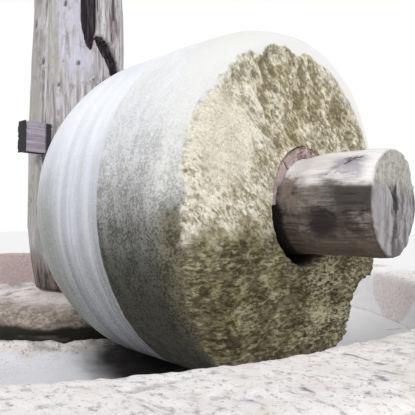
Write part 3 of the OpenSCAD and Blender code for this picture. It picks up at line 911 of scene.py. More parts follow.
def swept(outline, first, last, count, caps, level=None):
    """Rows of an outline swung round the upright axis, closed at both ends, with close rows at its ends."""
    a = np.linspace(first, last, count - 4)[1:-1]
    a = np.radians([first, first + 0.05, first + 0.25, *a, last - 0.25, last - 0.05, last])
    r, z = outline.T
    return capped([together(r * math.cos(t), r * math.sin(t), z) for t in a], caps, level)


def hold_in(points, low, high=None, radius=RIM_OUT - WITHIN):
    """Keeps points between two heights, and within a radius of the upright axis."""
    share = np.minimum(1, radius / np.maximum(np.hypot(points[:, 0], points[:, 1]), 1e-6))
    return np.column_stack([points[:, :2] * share[:, None], np.clip(points[:, 2], low, high)])


def unturned(points, normals):
    """Normals without their part round the upright axis, so that end rows move as the rest does."""
    x, y, _ = points.T
    part = (normals[:, 1] * x - normals[:, 0] * y) / np.hypot(x, y) ** 2
    left = normals - part[:, None] * together(-y, x, 0)
    return left / np.maximum(np.linalg.norm(left, axis=1), 0.2)[:, None]


def joint_half(i):
    """Half the angle that a mortar joint takes up."""
    return math.degrees((BROAD_JOINT if i == BROAD_AT else JOINT_W) / RIM_IN) / 2


def make_rim_stone(i):
    first, last = RIM_JOINTS[i] + joint_half(i), RIM_JOINTS[i + 1] - joint_half(i + 1)
    # The near stone has closer rows
    spacing, count = (0.0066, 196) if i == 0 else (0.014, 84)
    piece, p, n = plain_mesh(f"rim_stone_{i + 1}_hewn", [
        swept(rim_loop(0, spacing), first, last, count, caps=9)], flat=9)
    n = unturned(p, n)
    x, y, z = p.T
    reach, angle = polar(x, y)
    end_gap = np.radians((last - first) / 2 - np.abs(turn_gap(angle, (first + last) / 2))) * reach
    inner = window(-(n[:, 0] * x + n[:, 1] * y) / reach, 0.55, 0.8)
    shape = 0.004 * rough(p, 0.24, 200 + i, 3) + 0.0022 * rough(p, 0.07, 210 + i, 3)
    dress = 0.0020 * rough(p, 0.022, 220 + i, 3)
    scoop = window(rough(p, 0.040, 240 + i, 3), 0.60, 0.95)
    lip = window(0.050 - np.hypot(reach - RIM_IN, z - RIM_TOP), 0, 0.05)
    waver = 0.02 * swell(p, 0.07, 300) + 0.008 * swell(p, 0.025, 301)
    above = 0.010 if i == BROAD_AT else 0.004
    lime = inner * np.maximum(window(0.02 - end_gap + waver, -0.006, 0.006),
                              window(TRACK_Z + 0.030 + above - z + waver, -0.006, 0.006))
    if i == BROAD_AT - 1:
        lime = inner * window(follow(angle, LIME_TOP) + 0.4 * waver - z, -0.005, 0.005)
    worn_edge = window(0.03 - np.abs(end_gap), 0, 0.03) * (0.004 + 0.005 * np.abs(swell(p, 0.06, 260 + i)))
    if BROAD_AT in (i, i + 1):
        worn_edge = worn_edge * (np.abs(turn_gap(angle, RIM_JOINTS[BROAD_AT])) > 12)
    shift = shape + dress - 0.0035 * scoop - lip * 0.005 * np.abs(rough(p, 0.06, 280 + i, 2))
    shift = shift * (1 - 0.6 * lime) + 0.003 * lime - worn_edge * (1 - lime)
    shift = np.where(z < SEAT_Z + 0.004, np.minimum(shift, 0), shift)
    marked, frayed = np.zeros(len(p)), 0.004 * rough(p, 0.012, 290, 2)
    for x0, y0, x1, y1, wide in SCRATCHES:
        share = np.clip((x - x0) / (x1 - x0), 0, 1)
        away = np.hypot(x - x0 - share * (x1 - x0), y - y0 - share * (y1 - y0)) + frayed
        marked = np.maximum(marked, window(away, wide, wide * 0.3) * (z > RIM_TOP - 0.02))
    finish_piece(
        piece, hold_in(p + n * shift[:, None], SEAT_Z), "bed", "rim_granite",
        f"rim_stone_{i + 1}", inner=inner, lime=lime, marked=marked, shaded=np.full(len(p), RIM_SHADE[i]),
        hollow=np.clip(scoop * 0.6 + window(-dress, 0.0012, 0.003) * 0.4, 0, 1))


def make_mortar():
    parts = []
    for i, at in enumerate(RIM_JOINTS[:-1]):
        back, count = (-0.0015, 26) if i == BROAD_AT else (JOINT_BACK * 0.55, 9)
        half = joint_half(i) + 0.12
        parts.append(swept(rim_loop(back, 0.014), at - half, at + half, count, caps=7))
    piece, p, n = plain_mesh("rim_mortar_troweled", parts, flat=7)
    sag = 0.0030 * rough(p, 0.05, 320, 3) - 0.0015
    finish_piece(piece, hold_in(p + unturned(p, n) * sag[:, None], SEAT_Z), "bed", "mortar", "rim_mortar",
                 hollow=window(-sag, 0.002, 0.005))


def bed_height(x):
    """Height of the bed at a distance from the shaft: it follows the runner's tread."""
    if x > OUT_X:
        return TRACK_Z + BED_RISE * (x - OUT_X) / (RIM_IN - OUT_X)
    return TRACK_Z if x > RUNNER_X else AXLE_Z - 0.006 - runner_radius(RUNNER_X - x)


def make_bed_stone(i):
    low, outer, ledge = HUB_R + 0.009, RIM_IN - 0.002, HUB_R + CREVICE_W
    ledge_z = bed_height(ledge) - 0.003
    foot = ledge_z - CREVICE_D
    outline = np.array(
        [(r, bed_height(r) - WITHIN) for r in np.linspace(outer, ledge, 64)]
        + [(ledge - 0.002, ledge_z - CREVICE_D * 0.4), (ledge - 0.004, ledge_z - CREVICE_D * 0.8),
           (ledge - 0.024, ledge_z - CREVICE_D * 0.92), (low, foot)]
        + [(low, h) for h in np.linspace(foot, SEAT_Z, 6)[1:]]
        + [(r, SEAT_Z) for r in np.linspace(low, outer, 14)[1:]]
        + [(outer, h) for h in np.linspace(SEAT_Z, bed_height(outer), 7)[1:-1]])
    gap, turn = math.degrees(BED_JOINT / ledge) / 30, 360 / BED_COUNT
    first = BED_FIRST + turn * i
    piece, p, n = plain_mesh(f"bed_stone_{i + 1}_ground", [
        swept(outline, first + gap, first + turn - gap, count=74, caps=6, level=0.38)], flat=6)
    n = unturned(p, n)
    x, y, z = p.T
    reach, angle = polar(x, y)
    ragged = rough(p, 0.05, 340, 3)
    raw = np.maximum(window(ledge + 0.075 + 0.022 * ragged - reach, 0, 0.02),
                     window(reach - 1.27 + 0.03 * ragged, 0, 0.04))
    shift = -0.0008 + 0.0008 * rough(p, 0.3, 350, 2) - raw * (0.004 + 0.005 * rough(p, 0.035, 352, 4))
    moved = p + n * np.minimum(shift * window(n[:, 2], 0.3, 0.7), 0.001)[:, None]
    lip = window(reach, ledge + 0.05, ledge - 0.004) * window(z, SEAT_Z + 0.05, foot)
    moved[:, :2] += p[:, :2] * (lip * (0.010 + 0.016 * rough(p, 0.06, 356, 3)) / reach)[:, None]
    # The crevice edge by the ledge is darkened to near-black: partly grime, partly painted shade.
    hollow = window(ledge + 0.012 - reach, 0, 0.02) * 0.9 + raw * window(-ragged, 0.1, 0.8) * 0.5
    hollow = np.clip(hollow, 0, 1) * (1 - 0.6 * window(z, ledge_z - 0.010, ledge_z))
    # Painted shadow: a soft dark smudge on the track under the runner, round this middle.
    from_shadow_middle = np.hypot((x - 0.68) / 0.33, (y + 0.08) / 0.27)
    damp = window(from_shadow_middle + 0.10 * rough(p, 0.10, 360, 4) + 0.05 * ragged, 1.20, 0.66)
    damp *= 1 - 0.50 * window(x + 0.10 * rough(p, 0.12, 364, 3), 0.70, 1.00)
    damp *= 1 - 0.45 * window(y + 0.08 * rough(p, 0.12, 367, 3), 0, 0.20)
    # Painted light, with lime: a patch right of the runner painted near-white.
    side = turn_gap(angle, 24) + 6 * ragged
    limed = window(side, -46, -30) * window(side, 50, 38) * window(reach + 0.02 * ragged, 1.08, 1.22)
    finish_piece(piece, moved, "bed", "bed_granite", f"bed_stone_{i + 1}", raw=raw, damp=damp, limed=limed,
                 hollow=hollow * (1 - limed))


def make_hub():
    base, pocket = HUB_TOP - HUB_FALL - HUB_ROUND, STEP_R + 0.001
    slope = math.degrees(math.atan(HUB_FALL / (HUB_R - HUB_ROUND - FOOT_R - 0.014)))
    outer = [(0.02, SEAT_Z), (HUB_R, SEAT_Z), *arc(HUB_R - HUB_ROUND, base, HUB_ROUND, 0, 90 - slope, 14),
             (FOOT_R + 0.014, HUB_TOP), (pocket, HUB_TOP)]
    outline = [*along(outer, 0.010), (pocket, HUB_TOP - STEP_H), (0.02, HUB_TOP - STEP_H)]
    piece, p, n = plain_mesh("hub_stone_worn", [revolved(outline, 236)])
    loose = window(polar(p[:, 0], p[:, 1])[0], STEP_R + 0.02, 0.20)
    shift = 0.006 * rough(p, 0.16, 400, 3) - 0.004 + 0.0022 * rough(p, 0.03, 403, 3)
    groove = window(rough(p, (0.2, 0.2, 0.028), 407, 3), 0.45, 0.9) * (p[:, 2] > 0.48)
    shift = np.minimum((shift - 0.004 * groove) * loose, 0.002)
    finish_piece(piece, hold_in(p + n * shift[:, None], SEAT_Z, HUB_TOP), "bed", "hub_granite",
                 "hub_stone", hollow=np.clip(groove * 0.7 + window(-shift, 0.006, 0.012) * 0.4, 0, 1))


def make_drum_core():
    """The lime core of the drum, between and behind its rubble stones."""
    r = DRUM_R - 0.020
    outline = [*along([(0.05, 0), (r - 0.01, 0)], 0.12), *along([(r, 0), (r, DRUM_TOP)], 0.012),
               *along([(r - 0.01, DRUM_TOP), (0.05, DRUM_TOP)], 0.12)]
    piece, p, n = plain_mesh("base_masonry_core", [revolved(outline, 300)])
    shift = window(polar(p[:, 0], p[:, 1])[0], r - 0.03, r) * (0.006 * rough(p, 0.06, 420, 4) - 0.002)
    finish_piece(piece, p + n * (1, 1, 0) * shift[:, None], "bed", "masonry", "base_masonry", "mortar",
                 hollow=window(-shift, 0.002, 0.007))


def rubble_tree():
    """Geometry Nodes: one rounded, lumpy stone on each point of a wall, turned to face outwards."""
    tree = bpy.data.node_groups.new("Rubble stones", "GeometryNodeTree")
    for name, kind in (("Geometry", "Geometry"), ("Roundness", "Float"), ("Lump size", "Float"),
                       ("Lump depth", "Float"), ("Seed", "Float"), ("Finish", "Material")):
        tree.interface.new_socket(name, in_out="INPUT", socket_type="NodeSocket" + kind)
    tree.interface.new_socket("Geometry", in_out="OUTPUT", socket_type="NodeSocketGeometry")
    t = Tree(tree)
    points, roundness, lump_size, lump_depth, seed, finish = t.add("NodeGroupInput")[:-1]
    place = t.add("GeometryNodeInputPosition")[0]
    cube = t.add("GeometryNodeMeshCube", {"Size": (1, 1, 1), "Vertices X": 5, "Vertices Y": 9,
                                          "Vertices Z": 7})[0]
    ball = place.vector("NORMALIZE")[0].vector("SCALE", 0.62)[0]
    rounded = t.add("ShaderNodeMix", {0: roundness, 4: place, 5: ball}, data_type="VECTOR")[1]
    stone = t.add("GeometryNodeSetPosition", {"Geometry": cube, "Position": rounded})[0]
    size, turn = (t.add("GeometryNodeInputNamedAttribute", {"Name": name}, data_type=kind)[0]
                  for name, kind in (("size", "FLOAT_VECTOR"), ("turn", "FLOAT")))
    turned = t.add("FunctionNodeEulerToRotation", {0: t.add("ShaderNodeCombineXYZ", {2: turn})[0]})[0]
    set_out = t.add("GeometryNodeInstanceOnPoints", {"Points": points, "Instance": stone, "Scale": size,
                                                     "Rotation": turned})[0]
    real = t.add("GeometryNodeRealizeInstances", {0: set_out})[0]
    lumps = t.add("ShaderNodeTexNoise", {"Vector": place.vector("ADD", seed)[0], "Scale": lump_size,
                                         "Detail": 3})[1]
    push = lumps.vector("SUBTRACT", (0.5, 0.5, 0.5))[0].vector("SCALE", lump_depth)[0]
    worn = t.add("GeometryNodeSetPosition", {"Geometry": real, "Offset": push})[0]
    smooth = t.add("GeometryNodeSetShadeSmooth", {0: worn})[0]
    made = t.add("GeometryNodeSetMaterial", {"Geometry": smooth, "Material": finish})[0]
    t.add("NodeGroupOutput", {0: made})
    return tree


def make_rubble():
    """Courses of field stones round the drum."""
    random = np.random.default_rng(12)
    rows, floor = [], 0.004
    for tall in COURSES:
        at = random.random() * 8
        end = at + 360
        while at < end:
            wide = random.uniform(0.14, 0.31)
            span = math.degrees(wide / DRUM_R)
            if end - at < span * 1.5:
                span = end - at
                wide = math.radians(span) * DRUM_R
            middle = math.radians(at + span / 2)
            split = wide < 0.20 and random.random() < 0.3
            for part in ((0.27, 0.46), (0.75, 0.42)) if split else ((0.5, 1.0),):
                thick = random.uniform(0.07, 0.085)
                r = DRUM_R + 0.004 - thick / 2 - 0.010 * random.random()
                rows.append((
                    (r * math.cos(middle), r * math.sin(middle), floor + tall * part[0]),
                    (thick, wide - 0.016, tall * part[1] - (0.006 if split else 0.010)),
                    middle + random.uniform(-0.03, 0.03), random.random()))
            at += span
        floor += tall
    mesh = bpy.data.meshes.new("rubble places")
    places, *rest = zip(*rows)
    mesh.from_pydata(places, [], [])
    for name, kind, field, values in zip(("size", "turn", "tone"), ("FLOAT_VECTOR", "FLOAT", "FLOAT"),
                                         ("vector", "value", "value"), rest):
        layer = mesh.attributes.new(name, kind, "POINT")
        layer.data.foreach_set(field, np.array(values, np.float32).ravel())
    piece = add_object("rubble_stones", mesh)
    wall = piece.modifiers.new("wall", "NODES")
    wall.node_group = rubble_tree()
    given = {"Roundness": 0.42, "Lump size": 13.0, "Lump depth": 0.024, "Seed": 3.0,
             "Finish": FINISH["masonry"]}
    for item in wall.node_group.interface.items_tree:
        if item.in_out == "INPUT" and item.name in given:
            wall[item.identifier] = given[item.name]
    evaluated = piece.evaluated_get(bpy.context.evaluated_depsgraph_get())
    piece.data = bpy.data.meshes.new_from_object(evaluated)
    piece.modifiers.clear()
    write_points(piece, hold_in(read_points(piece.data)[0], 0, DRUM_TOP, RIM_OUT - 0.008))
    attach(piece, "bed")


# The turning part: shaft, cross timber, axle and key

# The rotten channel up the shaft: height with the angle of its middle and half its width, below and above
LOWER_ROT = ((1.465, 21), (1.50, 18), (1.53, 14), (1.56, 8), (1.60, 0), (1.635, -8), (1.648, -11),
             (2.40, -11))
LOWER_HALF = ((1.465, 11), (1.50, 12), (1.56, 12), (1.60, 11.5), (1.635, 10.5), (1.648, 0.5), (2.40, 0.5))
UPPER_ROT = ((1.58, -20), (1.66, -22.5), (1.80, -22.5), (2.40, -25))
UPPER_HALF = ((1.575, 0.3), (1.61, 6), (1.66, 9.5), (2.0, 10), (2.40, 12))
# Knots of the shaft that the photo shows: angle, height, size
SHAFT_KNOTS = ((-79, 1.534, 0.009), (-35, 1.524, 0.008), (-57, 1.437, 0.006), (-17, 1.464, 0.005),
               (-51, 1.76, 0.009))
# Checks of the cross timber: height, from, to
ARM_CHECKS = ((1.250, 0.20, 0.29), (1.214, 0.17, 0.29), (1.196, 0.23, 0.29), (1.264, 0.10, 0.24))
# Knots of the axle: distance from the shaft, angle, size, strength
AXLE_KNOTS = ((1.222, -156, 0.048, 1.0), (1.290, 128, 0.010, 0.8), (1.16, 60, 0.016, 0.6),
              (1.24, -40, 0.014, 0.7))
# Checks of the axle: angle, from, to, half width in degrees
AXLE_CHECKS = ((-178, 1.270, 1.352, 1.7), (-172, 1.285, 1.36, 1.4), (-166, 1.275, 1.35, 1.7),
               (-158, 1.29, 1.357, 1.5), (-150, 1.28, 1.345, 1.4), (172, 1.24, 1.33, 1.1),
               (150, 1.16, 1.25, 0.9), (105, 1.18, 1.30, 0.8), (-120, 1.15, 1.30, 1.3),
               (-95, 1.14, 1.33, 1.5), (-60, 1.15, 1.34, 1.4), (-20, 1.14, 1.32, 1.5),
               (20, 1.15, 1.34, 1.4), (55, 1.2, 1.35, 1.2), (-135, 1.13, 1.20, 1.3))
# How far the axle's free end is lifted, and by what share it is thickened, to match the photo
AXLE_LIFT, AXLE_GROWTH = 0.0065, 0.040


def shaft_radius(z):
    """The log's radius at a height: thickest at its belly, above the hub."""
    low = min(1, (z - FOOT_Z) / (BELLY_Z - FOOT_Z))
    high = max(0, (z - BELLY_Z) / (SHAFT_TOP - BELLY_Z))
    return FOOT_R + (BELLY_R - FOOT_R) * math.sin(low * math.pi / 2) - (BELLY_R - TOP_R) * high ** 2


def make_shaft():
    outline = [(r, FOOT_Z) for r in (0.03, 0.06, 0.09, 0.12, FOOT_R - 0.008)]
    outline += [(shaft_radius(h), h) for h in np.linspace(FOOT_Z + 0.008, SHAFT_TOP - 0.012, 215)]
    outline += [(r, SHAFT_TOP) for r in np.linspace(TOP_R - 0.012, 0.010, 22)]
    piece, p, n = plain_mesh("upright_shaft_log", [revolved(outline, 236)])
    x, y, z = p.T
    reach, angle = polar(x, y)
    side = window(reach, 0.10, 0.15) * window(np.abs(n[:, 2]), 0.9, 0.5)
    lean = 1 + 0.10 * rough(p * (1, 1, 0.35), 0.12, 500, 2)
    ridge = rough(p * (1, 1, 0.07), 0.016, 503, 3)
    shape = 0.005 * rough(p * (1, 1, 0.3), 0.11, 506, 3) - 0.004

    # Drying checks
    level = p * (0, 0, 1)
    waver = 3.0 * swell(level, 0.16, 509)
    checks = np.zeros(len(p))
    random = np.random.default_rng(21)
    for k in range(20):
        at, low, tall = random.uniform(0, 360), random.uniform(0.62, 2.1), random.uniform(0.18, 0.8)
        width = random.uniform(0.9, 1.9)
        line = bump(turn_gap(angle, at + waver + 2 * swell(level, 0.05, 511 + k)), width)
        line *= window(z, low, low + 0.06) * window(z, low + tall, low + tall - 0.06)
        checks = np.maximum(checks, line * random.uniform(0.2, 0.9))

    # The rotten channel, with its rib and a narrow channel beside it
    frayed = 1.6 * rough(p * (1, 1, 0.35), 0.03, 540, 3) + 0.8
    rot = np.maximum(
        sector(angle, follow(z, LOWER_ROT), follow(z, LOWER_HALF), 3.0, frayed) * window(z, 1.455, 1.475),
        sector(angle, follow(z, UPPER_ROT), follow(z, UPPER_HALF), 3.0, frayed) * window(z, 1.575, 1.60))
    rib = sector(angle, 12 + waver, 3.2, 1.5) * window(z, 1.60, 1.68)
    rot = np.maximum(rot, 0.75 * rib * window(ridge, -0.2, 0.5))
    rot = np.maximum(rot, side * sector(angle, 28 + waver, 1.3, 1.3) * window(z, 1.52, 1.6) * 0.8)

    # Knots, with the wood raised round them
    knot, swirl = np.zeros(len(p)), np.zeros(len(p))
    far_knots = [(a, random.uniform(0.8, 2.3), random.uniform(0.009, 0.018))
                 for a in (30, 75, 118, 160, 205, 232, 262)]
    uneven = 0.25 * rough(p, 0.01, 545, 2)
    for at, height, size in (*SHAFT_KNOTS, *far_knots):
        away = np.hypot(np.radians(turn_gap(angle, at)) * reach, (z - height) * 0.7) + size * uneven
        knot = np.maximum(knot, window(away, size * 1.25, size * 0.55))
        swirl = np.maximum(swirl, window(away, size * 3, size * 1.2) * window(away, size * 0.5, size * 1.2))
    shift = shape * lean + 0.0016 * ridge - 0.008 * checks + 0.004 * swirl - 0.005 * knot - 0.038 * rot
    top = window(z, SHAFT_TOP - 0.004, SHAFT_TOP - 0.001) * window(reach, 0.05, 0.08)
    split = np.maximum.reduce([bump(turn_gap(angle, at + 60 * (0.17 - reach)), 5)
                               for at in (40, 130, 200, 290)])
    shift = np.where(top > 0, -top * (0.006 * split + 0.002 * np.abs(rough(p, 0.02, 560, 2))),
                     side * shift - 0.004 * window(z, SHAFT_TOP - 0.06, SHAFT_TOP))
    # Painted shadow on the shaft under the cross timber.
    shadow_under_arm = (window(z, 1.105, 1.150) * (z < ARM_Z) * window(x, -0.015, 0.015) * (y < 0)
                 * window(x, ARM_X + 0.045, ARM_X + 0.025) * (0.6 + 0.4 * swell(p, 0.03, 566)))
    hollow = (checks + 0.15 * window(-ridge, 0.35, 0.9)) * side + 0.8 * (top * split + shadow_under_arm)
    finish_piece(
        piece, hold_in(p + n * shift[:, None], FOOT_Z, SHAFT_TOP), "shaft", "shaft_wood",
        "upright_shaft", hollow=np.clip(hollow, 0, 1), rot=rot * side, knot=knot * side,
        stained=side * sector(angle, 13, 12, 8) * window(z, 1.62, 1.70),
        bleached=side * sector(angle, -42, 34, 22) * window(z, 1.40, 1.52),
        dull=side * np.maximum(sector(angle, -66, 13, 9) * window(0.13 - np.abs(z - 1.56), 0, 0.06),
                               0.8 * sector(angle, -98 + 3 * waver, 26, 16)))


def make_cross_timber():
    across, up = squared(ARM_W, ARM_H, 112).T
    piece, p, n = plain_mesh("cross_timber_hewn", [capped([
        together(ARM_X + across, y, ARM_Z + up) for y in np.linspace(-ARM_HALF, ARM_HALF, 110)], 9)])
    away = np.abs(p[:, 1])
    end = window(np.abs(n[:, 1]), 0.5, 0.9) * window(away, ARM_HALF - 0.006, ARM_HALF - 0.001)
    grain = rough(p * (1, 0.07, 1), 0.012, 600, 3)
    shape = 0.0025 * rough(p, (0.06, 0.2, 0.06), 604, 3) - 0.003
    checks = np.zeros(len(p))
    for at, low, high in ARM_CHECKS:
        line = bump(p[:, 2] - at - 0.003 * swell(p, 0.05, 609), 0.0042)
        checks = np.maximum(checks, line * window(away, low, low + 0.04) * (away < high))
    tips = end * (0.003 * np.abs(rough(p, 0.012, 612, 2)) + 0.002)
    corner = window(away, ARM_HALF - 0.02, ARM_HALF)
    shift = (shape + 0.0008 * grain - 0.003 * checks - 0.003 * corner) * (1 - end) - tips
    moved = p + n * shift[:, None]
    moved[:, 1] = np.clip(moved[:, 1], -ARM_HALF, ARM_HALF)
    # Painted shade on the timber's underside and where it meets the shaft.
    shade = np.maximum(window(-n[:, 2], 0.6, 0.9), window(away, 0.212, 0.196)) * (1 - end)
    hollow = np.maximum(0.3 * checks + 0.15 * window(-grain, 0.4, 0.9), shade)
    finish_piece(piece, moved, "shaft", "arm_wood", "cross_timber", hollow=np.clip(hollow, 0, 1), end=end)


def make_axle():
    a = round_turn(240)
    ring, tenon = np.stack([np.cos(a), np.sin(a)], -1), squared(TENON_W, TENON_H, 240)
    xs = [*np.linspace(SHOULDER_X, 1.06, 30), *np.linspace(1.06, AXLE_END - 0.007, 96)[1:]]
    sections = [(x, tenon) for x in np.linspace(TENON_END, SHOULDER_X, 26)]
    sections += [(SHOULDER_X, tenon + (ring * AXLE_R - tenon) * t) for t in (0.25, 0.5, 0.75)]
    sections += [(x, ring * AXLE_R) for x in xs] + [(AXLE_END - 0.002, ring * (AXLE_R - 0.004))]
    sections += [(AXLE_END, ring * r) for r in np.linspace(AXLE_R - 0.009, 0.004, 36)]
    loops = capped([together(x, *(section + (0, AXLE_Z)).T) for x, section in sections], 8)[:-8]
    piece, p, n = plain_mesh("axle_log", [loops])
    centred = p - (0, 0, AXLE_Z)
    x, y, up = centred.T
    reach, angle = polar(y, up)
    end = window(n[:, 0], 0.5, 0.9) * window(x, AXLE_END - 0.004, AXLE_END - WITHIN)
    side = (1 - end) * window(x, SHOULDER_X - 0.001, SHOULDER_X + 0.02)
    stretched = centred * (0.08, 1, 1)
    grain = rough(stretched, 0.012, 700, 3)
    shape = 0.005 * rough(centred * (0.5, 1, 1), 0.10, 704, 3) - 0.0035

    # Knots with their collars, and drying checks
    knot, collar, checks = np.zeros(len(p)), np.zeros(len(p)), np.zeros(len(p))
    uneven = 0.10 * rough(p, 0.02, 708, 2)
    for at, turn, size, strength in AXLE_KNOTS:
        around = np.radians(turn_gap(angle, turn)) * reach
        away = np.hypot((x - at + around) * 0.84, (x - at - around) * 0.62) + size * uneven
        knot = np.maximum(knot, strength * window(away, size * 1.35, size * 0.50))
        collar = np.maximum(collar, window(away, size * 1.6, size) * window(away, size * 0.8, size))
    waver = 1.6 * swell(stretched, 0.01, 712)
    for turn, low, high, width in AXLE_CHECKS:
        line = 0.6 * bump(turn_gap(angle, turn + waver), width)
        checks = np.maximum(checks, line * window(x, low, low + 0.015) * window(x, high, high - 0.015))

    # A torn streak that runs down from a knot, and a split heart at its other end
    around = np.radians(angle % 360) * AXLE_R - 0.356
    past = x - 1.222
    ahead = np.clip((past * 0.078 + around * -0.056) / 0.0092, 0, 1)
    streak = np.hypot(past - ahead * 0.078, around + ahead * 0.056) + 0.004 * rough(stretched, 0.01, 713, 2)
    heart = np.hypot((x - 1.290) * 0.8, around + 0.053) + 0.006 * rough(p, 0.015, 714, 3)
    bruise = np.maximum(window(streak, 0.012, 0.002) * (0.35 + 0.5 * ahead), window(heart, 0.030, 0.006))
    line = np.abs((x - 1.292) * 0.75 + (around + 0.053) * 0.66) + 0.002 * rough(p, 0.01, 715, 2)
    checks = np.maximum(checks, window(line, 0.005, 0.001) * window(heart, 0.026, 0.018))
    smoked = window(x, 1.250, 1.285) * sector(angle, 176, 14, 5, 3 * rough(stretched, 0.02, 717, 3))

    shift = side * (shape + 0.0012 * grain - 0.006 * checks + 0.004 * collar - 0.007 * knot)
    in_eye = np.minimum(shift, -0.0004) * (0.4 + 0.6 * window(x, OUT_X - 0.02, OUT_X + 0.03))
    lip = window(x, AXLE_END - 0.045, AXLE_END) * side
    shift = np.where(x < OUT_X + 0.004, in_eye, shift) - 0.003 * lip

    # The free end's cracks and rings
    crack_at = follow(up, ((-0.11, -0.022), (-0.03, -0.004), (0, 0.006), (0.045, -0.046)))
    crack_at = crack_at + 0.004 * swell(p, 0.03, 720)
    smear = np.hypot((y - 0.002) / 0.021, (up - 0.005) / 0.050) + 0.35 * rough(p, 0.022, 733, 3)
    trail = np.hypot((y + 0.002) / 0.014, (up + 0.062) / 0.052) + 0.35 * rough(p, 0.020, 736, 3)
    crack = (window(np.abs(y - crack_at), 0.0062, 0.0015) * window(up, -0.108, -0.08)
             * window(up, 0.055, 0.03))
    thin_crack = (window(np.abs(y - 0.35 * up - 0.012), 0.004, 0.001) * window(reach, 0.02, 0.04)
                  * window(reach, 0.10, 0.075))
    rays = np.maximum.reduce([bump(turn_gap(angle, t + 60 * (0.13 - reach)), 3.5)
                              for t in (15, 62, 118, 158, 205, 318)]) * window(reach, 0.055, 0.08)
    growth = np.sin(reach * 900 + 3 * swell(p, 0.05, 724)) * 0.0006
    flat = 0.0035 * rough(p, 0.05, 727, 3) - 0.0035 + growth
    flat = flat - 0.005 * crack - 0.002 * thin_crack - 0.003 * rays
    edge_chip = window(reach, AXLE_R - 0.03, AXLE_R) * np.abs(rough(p, 0.035, 730, 2)) * 0.005
    moved = p + n * (shift + end * (flat - edge_chip))[:, None]
    thicker = window(x, OUT_X + 0.012, OUT_X + 0.085)
    moved[:, 1] *= 1 + AXLE_GROWTH * thicker
    moved[:, 2] += (AXLE_GROWTH * up + AXLE_LIFT) * thicker
    moved[:, 0] = np.clip(moved[:, 0], TENON_END, AXLE_END)
    dark_end = np.maximum.reduce([0.5 * crack, 0.3 * thin_crack, 0.75 * window(smear, 1.15, 0.35),
                                  0.45 * window(trail, 1.1, 0.3)])
    # Painted shade on the axle where it enters the eye.
    mouth = window(x, OUT_X + 0.022, OUT_X - 0.010) * sector(angle, -120, 80, 30) * side
    hollow = np.clip(np.maximum(checks * side, end * dark_end) + 0.25 * end * rays, 0, 1)
    back_end = window(-n[:, 0], 0.5, 0.9) * (x < TENON_END + 0.004)
    finish_piece(
        piece, moved, "shaft", "axle_wood", "axle", hollow=np.maximum(hollow, mouth), knot=knot * side,
        end=np.maximum(end, back_end), bruise=bruise * side, smoked=smoked * side)


def make_key():
    across, up = squared(KEY_W, KEY_D, 56, 10.0).T
    low, high = AXLE_Z - 0.131, AXLE_Z + 0.155
    loops = []
    for z in np.linspace(low, high, 60):
        thin = 1 - 0.12 * window(AXLE_Z - 0.095 - z, 0, 0.036) - 0.10 * window(z - high + 0.007, 0, 0.007)
        loops.append(together(KEY_X + across * thin, up * thin, z))
    piece, p, n = plain_mesh("tenon_key_riven", [capped(loops, 6)])
    grain = rough(p * (1, 1, 0.08), 0.008, 760, 3)
    bruise = window(p[:, 2], high - 0.02, high) * np.abs(rough(p, 0.015, 764, 2))
    finish_piece(piece, p + n * (0.0007 * grain - 0.0009 - 0.003 * bruise)[:, None], "shaft", "key_wood",
                 "tenon_key", hollow=0.5 * window(-grain, 0.3, 0.9))


# The bush in the eye

def make_stave(i):
    """One stave, split and broken back at its outer end."""
    first, last = 45 * i + 0.35, 45 * (i + 1) - 0.35
    turn, width = np.linspace(first, last, 22), np.linspace(STAVE_IN, STAVE_OUT, 6)[1:-1]
    outline = ([(STAVE_IN, t) for t in turn] + [(r, last) for r in width]
               + [(STAVE_OUT, t) for t in turn[::-1]] + [(r, first) for r in width[::-1]])
    r, turn = np.array(outline).T
    y, z = r * np.cos(np.radians(turn)), AXLE_Z + r * np.sin(np.radians(turn))
    stop = OUT_X - STAVE_BACK[i]
    xs = [*np.linspace(IN_X + 0.012, stop - 0.07, 16), *np.linspace(stop - 0.07, stop, 20)[1:]]
    piece, p, n = plain_mesh(f"bush_stave_{i + 1}_rotten", [capped([together(x, y, z) for x in xs], 5)])
    fibres = p * (0.05, 1, 1)
    near_end = window(p[:, 0], stop - 0.07, stop)
    torn = near_end * (0.5 + 0.5 * rough(p * (0, 1, 1), 0.024, 800 + i, 2))
    if i == 3:
        # The half of its end beside the broken staves is torn away
        angle = polar(p[:, 1], p[:, 2] - AXLE_Z)[1]
        torn = torn * 0.5 + near_end * 2.0 * window(turn_gap(angle, 152), 0, 10)
    moved = p + n * (0.0008 * rough(fibres, 0.006, 820, 2) - 0.001)[:, None]
    moved[:, 0] -= np.clip(torn, 0, 2) * (0.006 if STAVE_BACK[i] < 0.05 else 0.045)
    moved -= (0, 0, AXLE_Z)
    radius = np.hypot(moved[:, 1], moved[:, 2])
    moved[:, 1:] *= (np.clip(radius, STAVE_IN, STAVE_OUT) / radius)[:, None]
    split = window(-rough(fibres, 0.007, 830, 3), 0.2, 0.8)
    finish_piece(piece, moved + (0, 0, AXLE_Z), "runner", "bush_wood", f"bush_stave_{i + 1}",
                 hollow=split * 0.6 * (1 - near_end) + 0.3 * window(torn, 0.6, 1.0))


# Floor, light and camera

# The suns: name, the direction that each shines from, strength, softness in degrees
LAMPS = (("overhead", (-0.25, -0.55, 0.80), 0.14, 35), ("right front", (0.95, -0.34, 0.37), 1.56, 40),
         ("front", (0.05, -0.90, 0.42), 0.35, 60), ("far left", (-0.62, -0.52, 0.62), 0.88, 40),
         ("back", (0.40, 0.80, 0.60), 0.50, 40))


